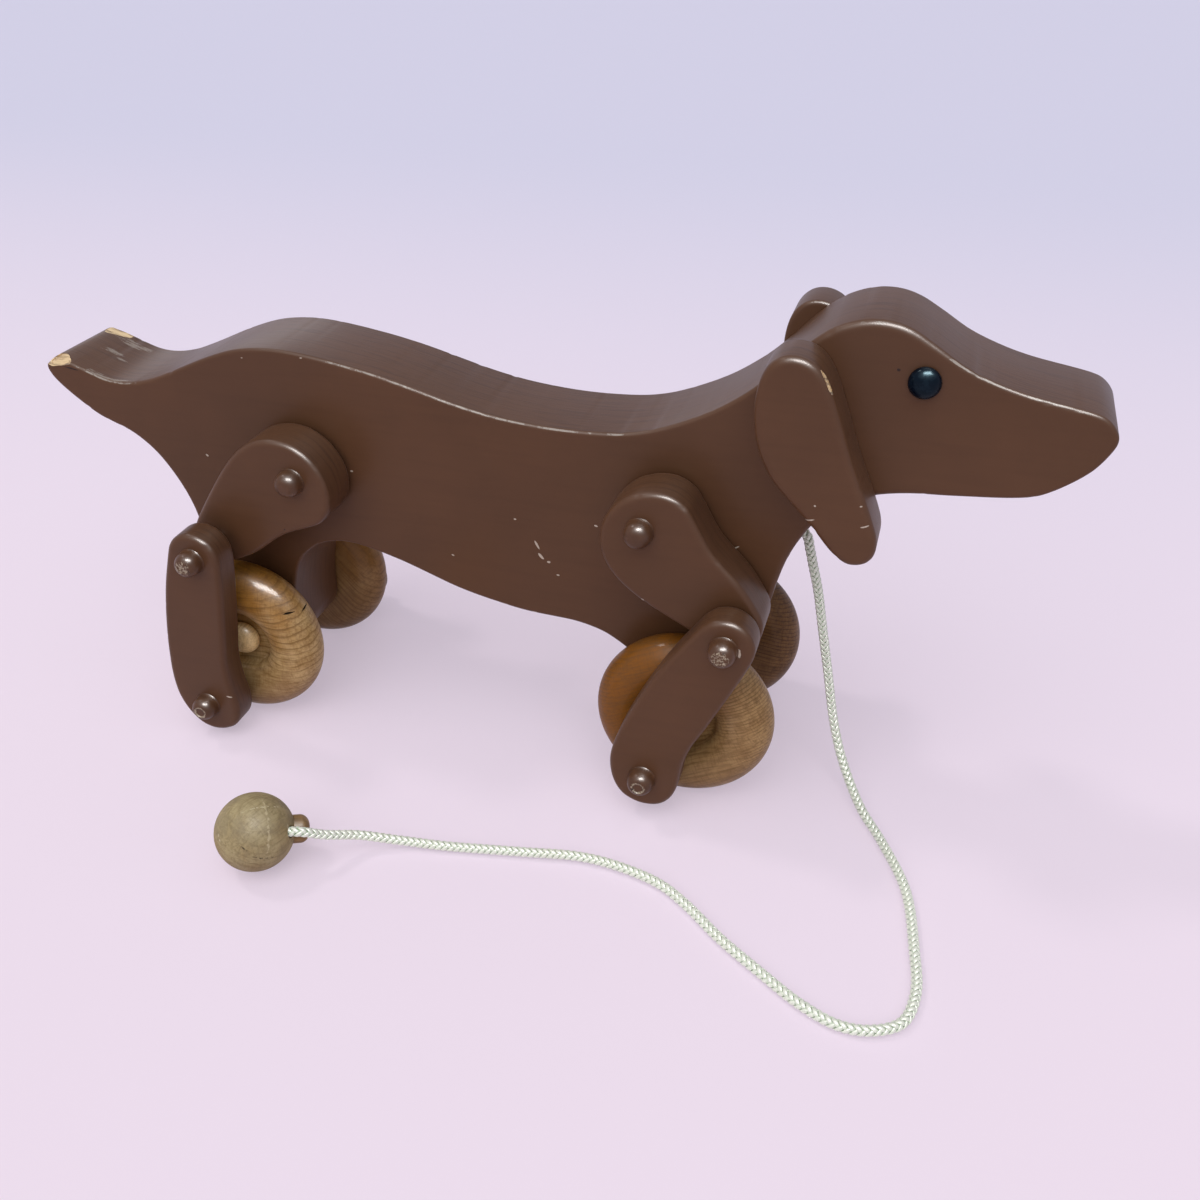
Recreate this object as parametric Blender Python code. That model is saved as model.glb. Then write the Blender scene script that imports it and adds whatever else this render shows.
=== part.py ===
"""Walking-dog pull toy in painted wood.

A dog sawn from thick board rolls on four turned wheels. Each leg is a four-bar linkage: the wheel is its
crank, the lower leg its coupler and the upper leg its rocker, so the dog steps as it is pulled along.
Frame: +X to the nose, +Y to the dog's left, +Z up, origin on the floor under the middle of the length.
"""
import math

import bmesh
import bpy
from mathutils import Matrix, Vector

MM = 0.001

# Overall sizes
BODY_THICKNESS = 38.0 * MM
WHEELBASE = 192.9 * MM
TAIL_REACH = 79.5 * MM
NOSE_REACH = 132.5 * MM

# Wheels
WHEEL_RADIUS = 35.0 * MM
WHEEL_THICKNESS = 19.8 * MM
WHEEL_CROWN = 24.5 * MM
HUB_RADIUS = 9.5 * MM
HUB_DISH = 9.4 * MM
HUB_LIP = 3.5 * MM
HUB_RISE = 1.6 * MM
CRANK_RADIUS = 19.5 * MM

# Legs
UPPER_LEG_LENGTH = 48.5 * MM
UPPER_LEG_THICKNESS = 19.0 * MM
LOWER_LEG_THICKNESS = 12.8 * MM
KNEE_ROUND = 11.0 * MM
KNEE_WHEEL_GAP = 5.7 * MM
LEG_SLACK = 8.6 * MM
REAR_HIP_LEAD = 39.3 * MM
FRONT_HIP_TRAIL = 17.0 * MM

# Body, head and ears
LUG_RADIUS = 17.5 * MM
BODY_ROUND = 2.6 * MM
LEG_ROUND = 2.6 * MM
EAR_THICKNESS = 18.0 * MM
EAR_ROUND = 3.0 * MM
EYE_DIAMETER = 10.8 * MM
EYE_HEIGHT = 4.2 * MM
EYE_FLAT = 2.2 * MM
EYE_AHEAD = 71.3 * MM
EYE_RISE = 57.6 * MM

# Pegs
PEG_SHANK = 5.5 * MM
PEG_HEAD = 10.2 * MM
PEG_HEAD_HEIGHT = 5.8 * MM
PEG_FLAT = 4.4 * MM
PEG_BITE = 13.0 * MM
AXLE_SHANK = 8.0 * MM
AXLE_HEAD = 14.4 * MM
AXLE_HEAD_HEIGHT = 6.4 * MM
AXLE_FLAT = 4.8 * MM
AXLE_BITE = 15.0 * MM

# Cord and ball
CORD_DIAMETER = 4.0 * MM
CORD_BITE = 7.0 * MM
CORD_LEAD = 3.5 * MM
CORD_EXIT_AHEAD = 34.05 * MM
CORD_EXIT_DROP = 12.2 * MM
BALL_DIAMETER = 29.0 * MM
BALL_CORD_BITE = 4.5 * MM
PLUG_DIAMETER = 10.6 * MM
PLUG_HEIGHT = 5.0 * MM
PLUG_FLAT = 5.3 * MM
PLUG_BITE = 5.0 * MM

# Clearances
GLUE_GAP = 0.3 * MM
RUN_GAP = 0.4 * MM
SIDE_PLAY = 1.8 * MM
KNEE_PLAY = {"rear": 5.9 * MM, "front": 1.8 * MM}
WHEEL_LEG_GAP = 1.0 * MM
HEAD_PLAY = 0.8 * MM

# Facets
CURVE_TOLERANCE = 0.16 * MM
ROUND_SEGMENTS = 2
WHEEL_SEGMENTS = 28
PEG_SEGMENTS = 12
BALL_SEGMENTS = 20
BALL_RINGS = 12
CORD_SPACING = 2.3 * CORD_DIAMETER

# Crank angle of each wheel in degrees from +X towards +Z, as the toy stands
CRANK_ANGLES = {
    "rear_right": -106.0,
    "front_right": -123.0,
    "rear_left": -65.0,
    "front_left": -92.0,
}

# Places worked out from the sizes above
LOWER_LEG_LENGTH = WHEEL_RADIUS + KNEE_WHEEL_GAP + KNEE_ROUND + CRANK_RADIUS
LEG_STRETCH = UPPER_LEG_LENGTH + LOWER_LEG_LENGTH - CRANK_RADIUS - LEG_SLACK
HIP_HEIGHT = WHEEL_RADIUS + math.sqrt(LEG_STRETCH ** 2 - REAR_HIP_LEAD ** 2)
OVERALL_LENGTH = WHEELBASE + TAIL_REACH + NOSE_REACH
REAR_AXLE_X = TAIL_REACH - OVERALL_LENGTH / 2
FRONT_AXLE_X = REAR_AXLE_X + WHEELBASE
AXLE_X = {"rear": REAR_AXLE_X, "front": FRONT_AXLE_X}
HIP_X = {"rear": REAR_AXLE_X + REAR_HIP_LEAD, "front": FRONT_AXLE_X - FRONT_HIP_TRAIL}
KNEE_SIDE = {"rear": -1, "front": 1}
SIDE_SIGN = {"right": -1, "left": 1}

# Distances from the centre plane to the faces of each layer
BODY_FACE = BODY_THICKNESS / 2
UPPER_IN = BODY_FACE + SIDE_PLAY
UPPER_OUT = UPPER_IN + UPPER_LEG_THICKNESS
WHEEL_IN = BODY_FACE + SIDE_PLAY
WHEEL_OUT = WHEEL_IN + WHEEL_THICKNESS
LOWER_IN = {end: max(UPPER_OUT + play, WHEEL_OUT + WHEEL_LEG_GAP) for end, play in KNEE_PLAY.items()}
UPPER_MID = (UPPER_IN + UPPER_OUT) / 2
WHEEL_MID = (WHEEL_IN + WHEEL_OUT) / 2
HUB_FACE = WHEEL_OUT - HUB_DISH

# Where the cord comes out of the chest, and the slope of its hole
CORD_EXIT = Vector((FRONT_AXLE_X + CORD_EXIT_AHEAD, 0.0, HIP_HEIGHT - CORD_EXIT_DROP))
CORD_HOLE_AXIS = Vector((0.80, 0.0, -0.60))

# Ball on the floor: the ways its cord hole and its plug point, as heading from +X to +Y and rise in degrees
BALL_CENTRE = Vector((-70.6 * MM, -119.5 * MM, BALL_DIAMETER / 2))
BALL_CORD_WAY = (8.0, 8.0)
BALL_PLUG_WAY = (36.0, -12.0)

# The cord's way from the chest down to the floor and along it to the ball, in millimetres
CORD_ROUTE = [
    (108.4, 0.0, 98.4), (110.2, 0.0, 91.5), (113.1, 0.0, 80.5), (116.7, -0.5, 62.8), (120.7, -2.2, 44.5),
    (125.2, -5.6, 25.0), (129.6, -11.4, 14.2), (135.3, -20.4, 7.2), (141.8, -31.6, 3.6), (150.2, -44.3, 2.3),
    (161.5, -67.6, 2.3), (166.8, -94.9, 2.3), (168.8, -114.0, 2.3), (165.4, -126.8, 2.3),
    (156.0, -132.6, 2.3), (146.0, -133.4, 2.3), (133.2, -128.8, 2.3), (118.3, -119.7, 2.3),
    (102.5, -109.4, 2.3), (87.6, -97.6, 2.3), (76.2, -90.6, 2.3), (60.0, -86.4, 2.3), (44.1, -85.6, 2.3),
    (21.9, -89.6, 2.3), (-6.0, -94.8, 2.3), (-23.4, -98.2, 3.6), (-37.4, -103.4, 7.2), (-46.4, -111.6, 12.4),
]


def clear_scene():
    for item in list(bpy.data.objects):
        bpy.data.objects.remove(item, do_unlink=True)


def finish(name, colour, roughness):
    """A plain surface: base colour, roughness, no metal."""
    material = bpy.data.materials.new(name)
    material.use_nodes = True
    shader = material.node_tree.nodes["Principled BSDF"]
    shader.inputs["Base Color"].default_value = (*colour, 1.0)
    shader.inputs["Roughness"].default_value = roughness
    shader.inputs["Metallic"].default_value = 0.0
    return material


def rear(dx, dz):
    """Outline point in millimetres from the rear axle's x and the height of the hip pegs."""
    return Vector((REAR_AXLE_X + dx * MM, HIP_HEIGHT + dz * MM))


def front(dx, dz):
    """Outline point in millimetres from the front axle's x and the height of the hip pegs."""
    return Vector((FRONT_AXLE_X + dx * MM, HIP_HEIGHT + dz * MM))


def between(share, dz):
    """Outline point at a share of the way from the rear axle to the front one."""
    return Vector((REAR_AXLE_X + share * WHEELBASE, HIP_HEIGHT + dz * MM))


def tail(share, dz):
    """Outline point at a share of the way from the rear axle back to the tail tip."""
    return Vector((REAR_AXLE_X - share * TAIL_REACH, HIP_HEIGHT + dz * MM))


def muzzle(share, dz):
    """Outline point at a share of the way from the front axle out to the nose."""
    return Vector((FRONT_AXLE_X + share * NOSE_REACH, HIP_HEIGHT + dz * MM))


def arc(centre, radius, start, stop, count):
    """Points on an arc, angles in degrees."""
    angles = [math.radians(start + (stop - start) * i / (count - 1)) for i in range(count)]
    return [Vector(centre) + radius * Vector((math.cos(a), math.sin(a))) for a in angles]


def spline_point(p0, p1, p2, p3, t):
    """Centripetal Catmull-Rom point between p1 and p2."""
    k1 = (p1 - p0).length ** 0.5
    k2 = k1 + (p2 - p1).length ** 0.5
    k3 = k2 + (p3 - p2).length ** 0.5
    k = k1 + (k2 - k1) * t
    a1 = p0.lerp(p1, k / k1)
    a2 = p1.lerp(p2, (k - k1) / (k2 - k1))
    a3 = p2.lerp(p3, (k - k2) / (k3 - k2))
    b1 = a1.lerp(a2, k / k2)
    b2 = a2.lerp(a3, (k - k1) / (k3 - k1))
    return b1.lerp(b2, (k - k1) / (k2 - k1))


def sag(points, first, last):
    """How far the points between two indices stray from the straight line that joins them."""
    line = points[last] - points[first]
    strays = [0.0]
    for point in points[first + 1:last]:
        offset = point - points[first]
        strays.append((offset - line * (offset.dot(line) / line.length_squared)).length)
    return max(strays)


def closed_curve(points, steps=16):
    """Smooth closed outline through the points, with no more corners than the tolerance needs."""
    count = len(points)
    fine = []
    for i in range(count):
        near = [points[(i + j - 1) % count] for j in range(4)]
        fine += [spline_point(*near, step / steps) for step in range(steps)]
    fine.append(fine[0])
    kept = [0]
    for i in range(2, len(fine)):
        if sag(fine, kept[-1], i) > CURVE_TOLERANCE:
            kept.append(i - 1)
    return [fine[i] for i in kept]


def new_object(name, mesh_builder, material, parent=None):
    """An object from a filled bmesh, smooth shaded up to its sharp edges."""
    mesh = bpy.data.meshes.new(name)
    mesh_builder.to_mesh(mesh)
    mesh_builder.free()
    mesh.shade_smooth()
    mesh.set_sharp_from_angle(angle=math.radians(35))
    if material:
        mesh.materials.append(material)
    item = bpy.data.objects.new(name, mesh)
    item.parent = parent
    bpy.context.collection.objects.link(item)
    return item


def board(name, outline, thickness, edge_round, material, parent=None):
    """A sawn board in the XZ plane, centred on y = 0, with its rims rounded over."""
    build = bmesh.new()
    near = [build.verts.new((p.x, -thickness / 2, p.y)) for p in outline]
    far = [build.verts.new((p.x, thickness / 2, p.y)) for p in outline]
    build.faces.new(near)
    build.faces.new(far[::-1])
    for i in range(len(outline)):
        build.faces.new((near[i - 1], far[i - 1], far[i], near[i]))
    bmesh.ops.recalc_face_normals(build, faces=build.faces)
    rims = [e for e in build.edges if e.verts[0].co.y == e.verts[1].co.y]
    bmesh.ops.bevel(build, geom=rims, offset=edge_round, segments=ROUND_SEGMENTS, profile=0.5,
                    affect="EDGES", clamp_overlap=False)
    return new_object(name, build, material, parent)


def turned(name, profile, segments, material, parent=None, closed=False):
    """A turned piece: (radius, y) points spun about the local Y axis."""
    build = bmesh.new()
    verts = [build.verts.new((radius, y, 0.0)) for radius, y in profile]
    edges = [build.edges.new(pair) for pair in zip(verts, verts[1:])]
    if closed:
        edges.append(build.edges.new((verts[-1], verts[0])))
    bmesh.ops.spin(build, geom=verts + edges, axis=(0, 1, 0), angle=2 * math.pi, steps=segments,
                   use_merge=True)
    bmesh.ops.remove_doubles(build, verts=build.verts, dist=0.001 * MM)
    bmesh.ops.recalc_face_normals(build, faces=build.faces)
    return new_object(name, build, material, parent)


def drill(target, holes, segments=PEG_SEGMENTS):
    """Drill round holes: (mouth, axis into the wood, radius, depth), in the target's own frame."""
    build = bmesh.new()
    lead = 2 * MM
    for mouth, axis, radius, depth in holes:
        axis = Vector(axis).normalized()
        turn = axis.to_track_quat("Z", "Y").to_matrix().to_4x4()
        middle = Vector(mouth) + axis * (depth - lead) / 2
        bmesh.ops.create_cone(build, cap_ends=True, segments=segments, radius1=radius, radius2=radius,
                              depth=depth + lead, matrix=Matrix.Translation(middle) @ turn)
    cutter = new_object(target.name + "_drill", build, None, target)
    cutter.hide_render = True
    cutter.display_type = "WIRE"
    cut = target.modifiers.new("Drill", "BOOLEAN")
    cut.operation = "DIFFERENCE"
    cut.solver = "EXACT"
    cut.object = cutter


def dome(head_radius, height, flat_radius, base, steps=3):
    """Profile of a domed head from its small flat tip down to its rim."""
    points = [(0.0, height), (flat_radius, height)]
    for i in range(1, steps + 1):
        angle = math.radians(90 * i / steps)
        radius = flat_radius + (head_radius - flat_radius) * math.sin(angle)
        points.append((radius, base + (height - base) * math.cos(angle)))
    return points


def peg(name, head, height, flat, shank, reach, material, parent, place, outward):
    """A headed peg: its head sits on y = 0 and its shank runs inwards for the reach."""
    rim = 0.12 * height
    chamfer = 0.12 * shank
    profile = dome(head / 2, height, flat / 2, rim)
    profile += [(head / 2 - rim, 0.0), (shank / 2, 0.0)]
    profile += [(shank / 2, chamfer - reach), (shank / 2 - chamfer, -reach), (0.0, -reach)]
    item = turned(name, profile, PEG_SEGMENTS, material, parent)
    item.location = place
    item.rotation_euler = outward
    return item


def facing(sign):
    """Rotation that points a turned piece's +Y away from the body on the given side."""
    return (0.0, 0.0, 0.0 if sign > 0 else math.pi)


def body_outline():
    """Side view of the dog, from the tail tip over the back to the nose and home along the belly."""
    back = [tail(0.938, 29.4), tail(0.836, 27.2), tail(0.623, 22.1), tail(0.428, 24.0), rear(-6.5, 35.6),
            rear(9.0, 41.2), rear(26.5, 43.3), rear(48.0, 41.4), rear(72.0, 37.0), between(0.50, 30.7),
            between(0.61, 26.7), front(-48.5, 25.3), front(-24.5, 27.6), front(-4.0, 35.4),
            front(14.0, 47.0), front(36.0, 68.8)]
    head = [front(44.5, 74.0), front(54.5, 76.2), front(65.0, 74.2), muzzle(0.634, 63.2), muzzle(0.758, 57.3),
            muzzle(0.898, 53.7), muzzle(0.966, 51.2), muzzle(1.0, 44.8), muzzle(0.976, 36.4),
            muzzle(0.927, 29.2), muzzle(0.845, 22.0), muzzle(0.725, 19.3), front(68.5, 16.4)]
    chest = [front(56.0, 12.6), front(44.0, 4.4), front(36.6, -6.2), front(31.6, -18.0), front(28.4, -32.0),
             front(24.0, -49.0), front(19.4, -66.0)]
    front_lug = arc((FRONT_AXLE_X, WHEEL_RADIUS), LUG_RADIUS, 10, -190, 10)
    belly = [front(-21.4, -71.2), front(-34.2, -61.2), front(-46.0, -57.4), between(0.63, -55.6),
             between(0.50, -50.5), rear(70.0, -41.4), rear(48.0, -36.8), rear(34.5, -39.6), rear(24.6, -48.4),
             rear(19.6, -62.0)]
    rear_lug = arc((REAR_AXLE_X, WHEEL_RADIUS), LUG_RADIUS, 10, -190, 10)
    rump = [rear(-19.0, -66.0), rear(-21.0, -46.0), rear(-23.6, -29.6), tail(0.421, -10.4),
            tail(0.553, -0.8), tail(0.755, 6.2), tail(0.881, 13.6), tail(0.976, 20.4), tail(1.0, 25.6)]
    return closed_curve(back + head + chest + front_lug + belly + rear_lug + rump)


def ear_outline():
    """A drooping ear, rooted beside the poll and hanging over the throat."""
    return closed_curve([
        front(30.0, 68.2), front(37.2, 66.4), front(42.4, 60.6), front(52.3, 35.6), front(61.4, 14.0),
        front(63.8, 6.0), front(63.2, 0.4), front(60.2, -2.7), front(55.0, -3.4), front(50.0, -0.4),
        front(44.6, 5.8), front(35.2, 15.8), front(27.2, 24.3), front(22.3, 33.6), front(19.9, 43.5),
        front(19.8, 52.0), front(21.2, 60.4), front(24.4, 65.6),
    ])


def upper_leg_outline():
    """Upper leg along +X from the hip to the knee, broad at the hip."""
    hip = [(-11.0, -8.4), (-12.6, 0.4), (-10.2, 10.0), (-4.0, 17.0), (4.2, 19.2), (12.4, 17.0)]
    points = [Vector(p) * MM for p in hip]
    points += [Vector((22.5 * MM, 14.3 * MM)), Vector((UPPER_LEG_LENGTH - 9.0 * MM, 13.4 * MM))]
    points += arc((UPPER_LEG_LENGTH, 0.0), KNEE_ROUND, 66, -72, 7)
    thigh = [(30.0, -17.6), (20.0, -20.2), (9.6, -21.2), (1.0, -19.6), (-6.2, -15.2)]
    return closed_curve(points + [Vector(p) * MM for p in thigh])


def lower_leg_outline():
    """Lower leg along +X from the knee to the crank peg, calf to -Z and toe to +Z."""
    points = arc((0.0, 0.0), KNEE_ROUND, 250, 95, 7)
    points += [Vector(p) * MM for p in [(20.0, 10.8), (36.0, 10.3)]]
    foot = [(-24.0, 9.6), (-12.0, 10.9), (-3.5, 13.2), (4.4, 13.3), (9.8, 10.4), (13.2, 3.6), (12.8, -3.6),
            (8.2, -9.8), (0.4, -14.4), (-9.0, -16.4)]
    points += [Vector((LOWER_LEG_LENGTH + x * MM, y * MM)) for x, y in foot]
    calf = [(48.0, -16.9), (34.0, -16.4), (20.0, -15.1), (8.0, -12.9)]
    return closed_curve(points + [Vector(p) * MM for p in calf])


def wheel_profile():
    """Donut wheel: round tread, flat inner face, and a dish round the hub outside."""
    half = WHEEL_THICKNESS / 2
    bore = AXLE_SHANK / 2 + RUN_GAP
    hub = half - HUB_DISH
    lip = HUB_RADIUS + HUB_LIP
    points = [(bore, hub), (HUB_RADIUS, hub)]
    for angle in (90, 60, 30):
        t = math.radians(angle)
        radius = WHEEL_CROWN - (WHEEL_CROWN - lip) * math.sin(t)
        points.append((radius, hub + HUB_RISE + (HUB_DISH - HUB_RISE) * math.cos(t)))
    for step in range(9):
        t = math.pi * step / 8
        points.append((WHEEL_CROWN + (WHEEL_RADIUS - WHEEL_CROWN) * math.sin(t), half * math.cos(t)))
    points.append((bore, -half))
    return points


def knee_place(hip, crank, side):
    """Where the upper leg's circle meets the lower leg's, on the given side of the hip-crank line."""
    span = crank - hip
    along = (UPPER_LEG_LENGTH ** 2 - LOWER_LEG_LENGTH ** 2 + span.length_squared) / (2 * span.length)
    across = math.sqrt(UPPER_LEG_LENGTH ** 2 - along ** 2)
    unit = span.normalized()
    return hip + unit * along + side * across * Vector((-unit.y, unit.x))


def heading(step):
    """Angle of a step in the XZ plane from +X towards +Z."""
    return math.atan2(step.y, step.x)


def make_body(paint):
    body = board("body", body_outline(), BODY_THICKNESS, BODY_ROUND, paint)
    holes = []
    for sign in SIDE_SIGN.values():
        inward = (0, -sign, 0)
        for end in AXLE_X:
            hip_mouth = (HIP_X[end], sign * BODY_FACE, HIP_HEIGHT)
            axle_mouth = (AXLE_X[end], sign * BODY_FACE, WHEEL_RADIUS)
            holes.append((hip_mouth, inward, PEG_SHANK / 2 + GLUE_GAP, PEG_BITE + GLUE_GAP))
            holes.append((axle_mouth, inward, AXLE_SHANK / 2 + GLUE_GAP, AXLE_BITE + GLUE_GAP))
        eye = eye_place()
        eye_mouth = (eye.x, sign * BODY_FACE, eye.y)
        holes.append((eye_mouth, inward, PEG_SHANK / 2 + GLUE_GAP, PEG_BITE + GLUE_GAP))
    cord_depth = CORD_BITE + GLUE_GAP
    holes.append((CORD_EXIT, -CORD_HOLE_AXIS, CORD_DIAMETER / 2 + GLUE_GAP, cord_depth))
    drill(body, holes)
    return body


def eye_place():
    return Vector((FRONT_AXLE_X + EYE_AHEAD, HIP_HEIGHT + EYE_RISE))


def make_head_trim(body, paint, eye_gloss):
    """Ears glued to the cheeks and domed eyes pegged into them."""
    outline = ear_outline()
    eye = eye_place()
    for side, sign in SIDE_SIGN.items():
        ear = board("ear_" + side, outline, EAR_THICKNESS, EAR_ROUND, paint, body)
        ear.location.y = sign * (BODY_FACE + GLUE_GAP + EAR_THICKNESS / 2)
        place = (eye.x, sign * (BODY_FACE + GLUE_GAP), eye.y)
        peg("eye_" + side, EYE_DIAMETER, EYE_HEIGHT, EYE_FLAT, PEG_SHANK, PEG_BITE, eye_gloss, body,
            place, facing(sign))


def make_wheel(leg, body, axle, crank_angle, sign, varnish, peg_wood):
    """A wheel on its axle peg, drilled for its crank peg."""
    wheel = turned(leg + "_wheel", wheel_profile(), WHEEL_SEGMENTS, varnish, body, closed=True)
    wheel.location = (axle.x, sign * WHEEL_MID, axle.y)
    wheel.rotation_euler = facing(sign)
    angle = math.radians(crank_angle)
    mouth = (sign * CRANK_RADIUS * math.cos(angle), WHEEL_THICKNESS / 2, CRANK_RADIUS * math.sin(angle))
    drill(wheel, [(mouth, (0, -1, 0), PEG_SHANK / 2 + GLUE_GAP, PEG_BITE)])
    reach = HEAD_PLAY + HUB_FACE - BODY_FACE + AXLE_BITE
    peg(leg + "_axle_peg", AXLE_HEAD, AXLE_HEAD_HEIGHT, AXLE_FLAT, AXLE_SHANK, reach, peg_wood, body,
        (axle.x, sign * (HUB_FACE + HEAD_PLAY), axle.y), facing(sign))


def make_upper_leg(leg, body, hip, angle, sign, paint):
    upper = board(leg + "_upper_leg", upper_leg_outline(), UPPER_LEG_THICKNESS, LEG_ROUND, paint, body)
    upper.location = (hip.x, sign * UPPER_MID, hip.y)
    upper.rotation_euler.y = -angle
    half = UPPER_LEG_THICKNESS / 2
    inward = (0, -sign, 0)
    drill(upper, [
        ((0, sign * half, 0), inward, PEG_SHANK / 2 + RUN_GAP, UPPER_LEG_THICKNESS + LEG_ROUND),
        ((UPPER_LEG_LENGTH, sign * half, 0), inward, PEG_SHANK / 2 + GLUE_GAP, PEG_BITE + GLUE_GAP),
    ])
    reach = HEAD_PLAY + UPPER_OUT - BODY_FACE + PEG_BITE
    peg(leg + "_hip_peg", PEG_HEAD, PEG_HEAD_HEIGHT, PEG_FLAT, PEG_SHANK, reach, paint, body,
        (hip.x, sign * (UPPER_OUT + HEAD_PLAY), hip.y), facing(sign))
    return upper


def make_lower_leg(leg, upper, inner, bend, sign, paint):
    """Lower leg hung on the upper leg's knee peg; its crank peg stops just short of the wheel."""
    lower = board(leg + "_lower_leg", lower_leg_outline(), LOWER_LEG_THICKNESS, LEG_ROUND, paint, upper)
    half = LOWER_LEG_THICKNESS / 2
    outer = inner + LOWER_LEG_THICKNESS
    lower.location = (UPPER_LEG_LENGTH, sign * (inner + half - UPPER_MID), 0)
    lower.rotation_euler.y = -bend
    through = LOWER_LEG_THICKNESS + LEG_ROUND
    inward = (0, -sign, 0)
    hole = PEG_SHANK / 2 + RUN_GAP
    drill(lower, [((x, sign * half, 0), inward, hole, through) for x in (0, LOWER_LEG_LENGTH)])
    knee_reach = HEAD_PLAY + outer - UPPER_OUT + PEG_BITE
    peg(leg + "_knee_peg", PEG_HEAD, PEG_HEAD_HEIGHT, PEG_FLAT, PEG_SHANK, knee_reach, paint, upper,
        (UPPER_LEG_LENGTH, sign * (outer + HEAD_PLAY - UPPER_MID), 0), facing(sign))
    crank_reach = HEAD_PLAY + outer - WHEEL_OUT - GLUE_GAP
    peg(leg + "_crank_peg", PEG_HEAD, PEG_HEAD_HEIGHT, PEG_FLAT, PEG_SHANK, crank_reach, paint, lower,
        (LOWER_LEG_LENGTH, sign * (half + HEAD_PLAY), 0), facing(sign))


def make_leg(end, side, body, paint, varnish, peg_wood):
    """One leg with its wheel, bent as the crank angle sets it."""
    leg = end + "_" + side
    sign = SIDE_SIGN[side]
    axle = Vector((AXLE_X[end], WHEEL_RADIUS))
    hip = Vector((HIP_X[end], HIP_HEIGHT))
    crank_angle = CRANK_ANGLES[leg]
    crank = arc(axle, CRANK_RADIUS, crank_angle, crank_angle, 2)[0]
    knee = knee_place(hip, crank, KNEE_SIDE[end])
    upper_angle = heading(knee - hip)
    make_wheel(leg, body, axle, crank_angle, sign, varnish, peg_wood)
    upper = make_upper_leg(leg, body, hip, upper_angle, sign, paint)
    make_lower_leg(leg, upper, LOWER_IN[end], heading(crank - knee) - upper_angle, sign, paint)


def pointing(heading_deg, rise_deg):
    """Unit vector at a heading and a rise in degrees."""
    turn = math.radians(heading_deg)
    rise = math.radians(rise_deg)
    return Vector((math.cos(rise) * math.cos(turn), math.cos(rise) * math.sin(turn), math.sin(rise)))


def make_ball(body, wood, peg_wood):
    """Turned pull ball, drilled for the cord and for the plug beside it."""
    build = bmesh.new()
    radius = BALL_DIAMETER / 2
    bmesh.ops.create_uvsphere(build, u_segments=BALL_SEGMENTS, v_segments=BALL_RINGS, radius=radius)
    ball = new_object("ball", build, wood, body)
    ball.location = BALL_CENTRE
    cord_way = pointing(*BALL_CORD_WAY)
    plug_way = pointing(*BALL_PLUG_WAY)
    drill(ball, [
        (cord_way * radius, -cord_way, CORD_DIAMETER / 2 + GLUE_GAP, BALL_CORD_BITE + GLUE_GAP),
        (plug_way * radius, -plug_way, PEG_SHANK / 2 + GLUE_GAP, PLUG_BITE + GLUE_GAP),
    ])
    turn = plug_way.to_track_quat("Y", "Z").to_euler()
    peg("ball_plug", PLUG_DIAMETER, PLUG_HEIGHT, PLUG_FLAT, PEG_SHANK, PLUG_BITE, peg_wood, body,
        BALL_CENTRE + plug_way * (radius + GLUE_GAP), turn)


def cord_points():
    """Even points on a smooth curve from the chest hole to the ball's hole, with straight ends in both."""
    ball_way = pointing(*BALL_CORD_WAY)
    ball_mouth = BALL_CENTRE + ball_way * BALL_DIAMETER / 2
    route = [CORD_EXIT + CORD_HOLE_AXIS * CORD_LEAD]
    route += [Vector(p) * MM for p in CORD_ROUTE]
    route.append(ball_mouth + ball_way * CORD_LEAD)
    ends = [CORD_EXIT - CORD_HOLE_AXIS * CORD_BITE] + route + [ball_mouth - ball_way * BALL_CORD_BITE]
    fine = []
    for i in range(len(route) - 1):
        fine += [spline_point(*ends[i:i + 4], step / 12) for step in range(12)]
    fine.append(route[-1])
    lengths = [(b - a).length for a, b in zip(fine, fine[1:])]
    pace = sum(lengths) / round(sum(lengths) / CORD_SPACING)
    points = [ends[0], fine[0]]
    run = 0.0
    for point, length in zip(fine[1:-1], lengths):
        run += length
        if run >= (len(points) - 1) * pace:
            points.append(point)
    points += [fine[-1], ends[-1]]
    print("cord length %.4f m" % sum((b - a).length for a, b in zip(points, points[1:])))
    return points


def make_cord(body, material):
    curve = bpy.data.curves.new("cord", "CURVE")
    curve.dimensions = "3D"
    curve.bevel_depth = CORD_DIAMETER / 2
    curve.bevel_resolution = 2
    curve.use_fill_caps = True
    curve.materials.append(material)
    points = cord_points()
    strand = curve.splines.new("POLY")
    strand.points.add(len(points) - 1)
    for knot, point in zip(strand.points, points):
        knot.co = (*point, 1.0)
    cord = bpy.data.objects.new("cord", curve)
    cord.parent = body
    bpy.context.collection.objects.link(cord)


def main():
    clear_scene()
    paint = finish("brown_paint", (0.098, 0.045, 0.028), 0.42)
    varnish = finish("varnished_wood", (0.46, 0.27, 0.10), 0.35)
    peg_wood = finish("bare_peg_wood", (0.50, 0.34, 0.16), 0.55)
    ball_wood = finish("worn_ball_wood", (0.26, 0.19, 0.10), 0.60)
    eye_gloss = finish("dark_eye_gloss", (0.012, 0.014, 0.028), 0.15)
    cord_white = finish("white_cord", (0.72, 0.80, 0.72), 0.70)
    body = make_body(paint)
    make_head_trim(body, paint, eye_gloss)
    for end in AXLE_X:
        for side in SIDE_SIGN:
            make_leg(end, side, body, paint, varnish, peg_wood)
    make_ball(body, ball_wood, peg_wood)
    make_cord(body, cord_white)


main()
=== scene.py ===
import bpy
import math
from mathutils import Matrix, Vector, noise


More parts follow.
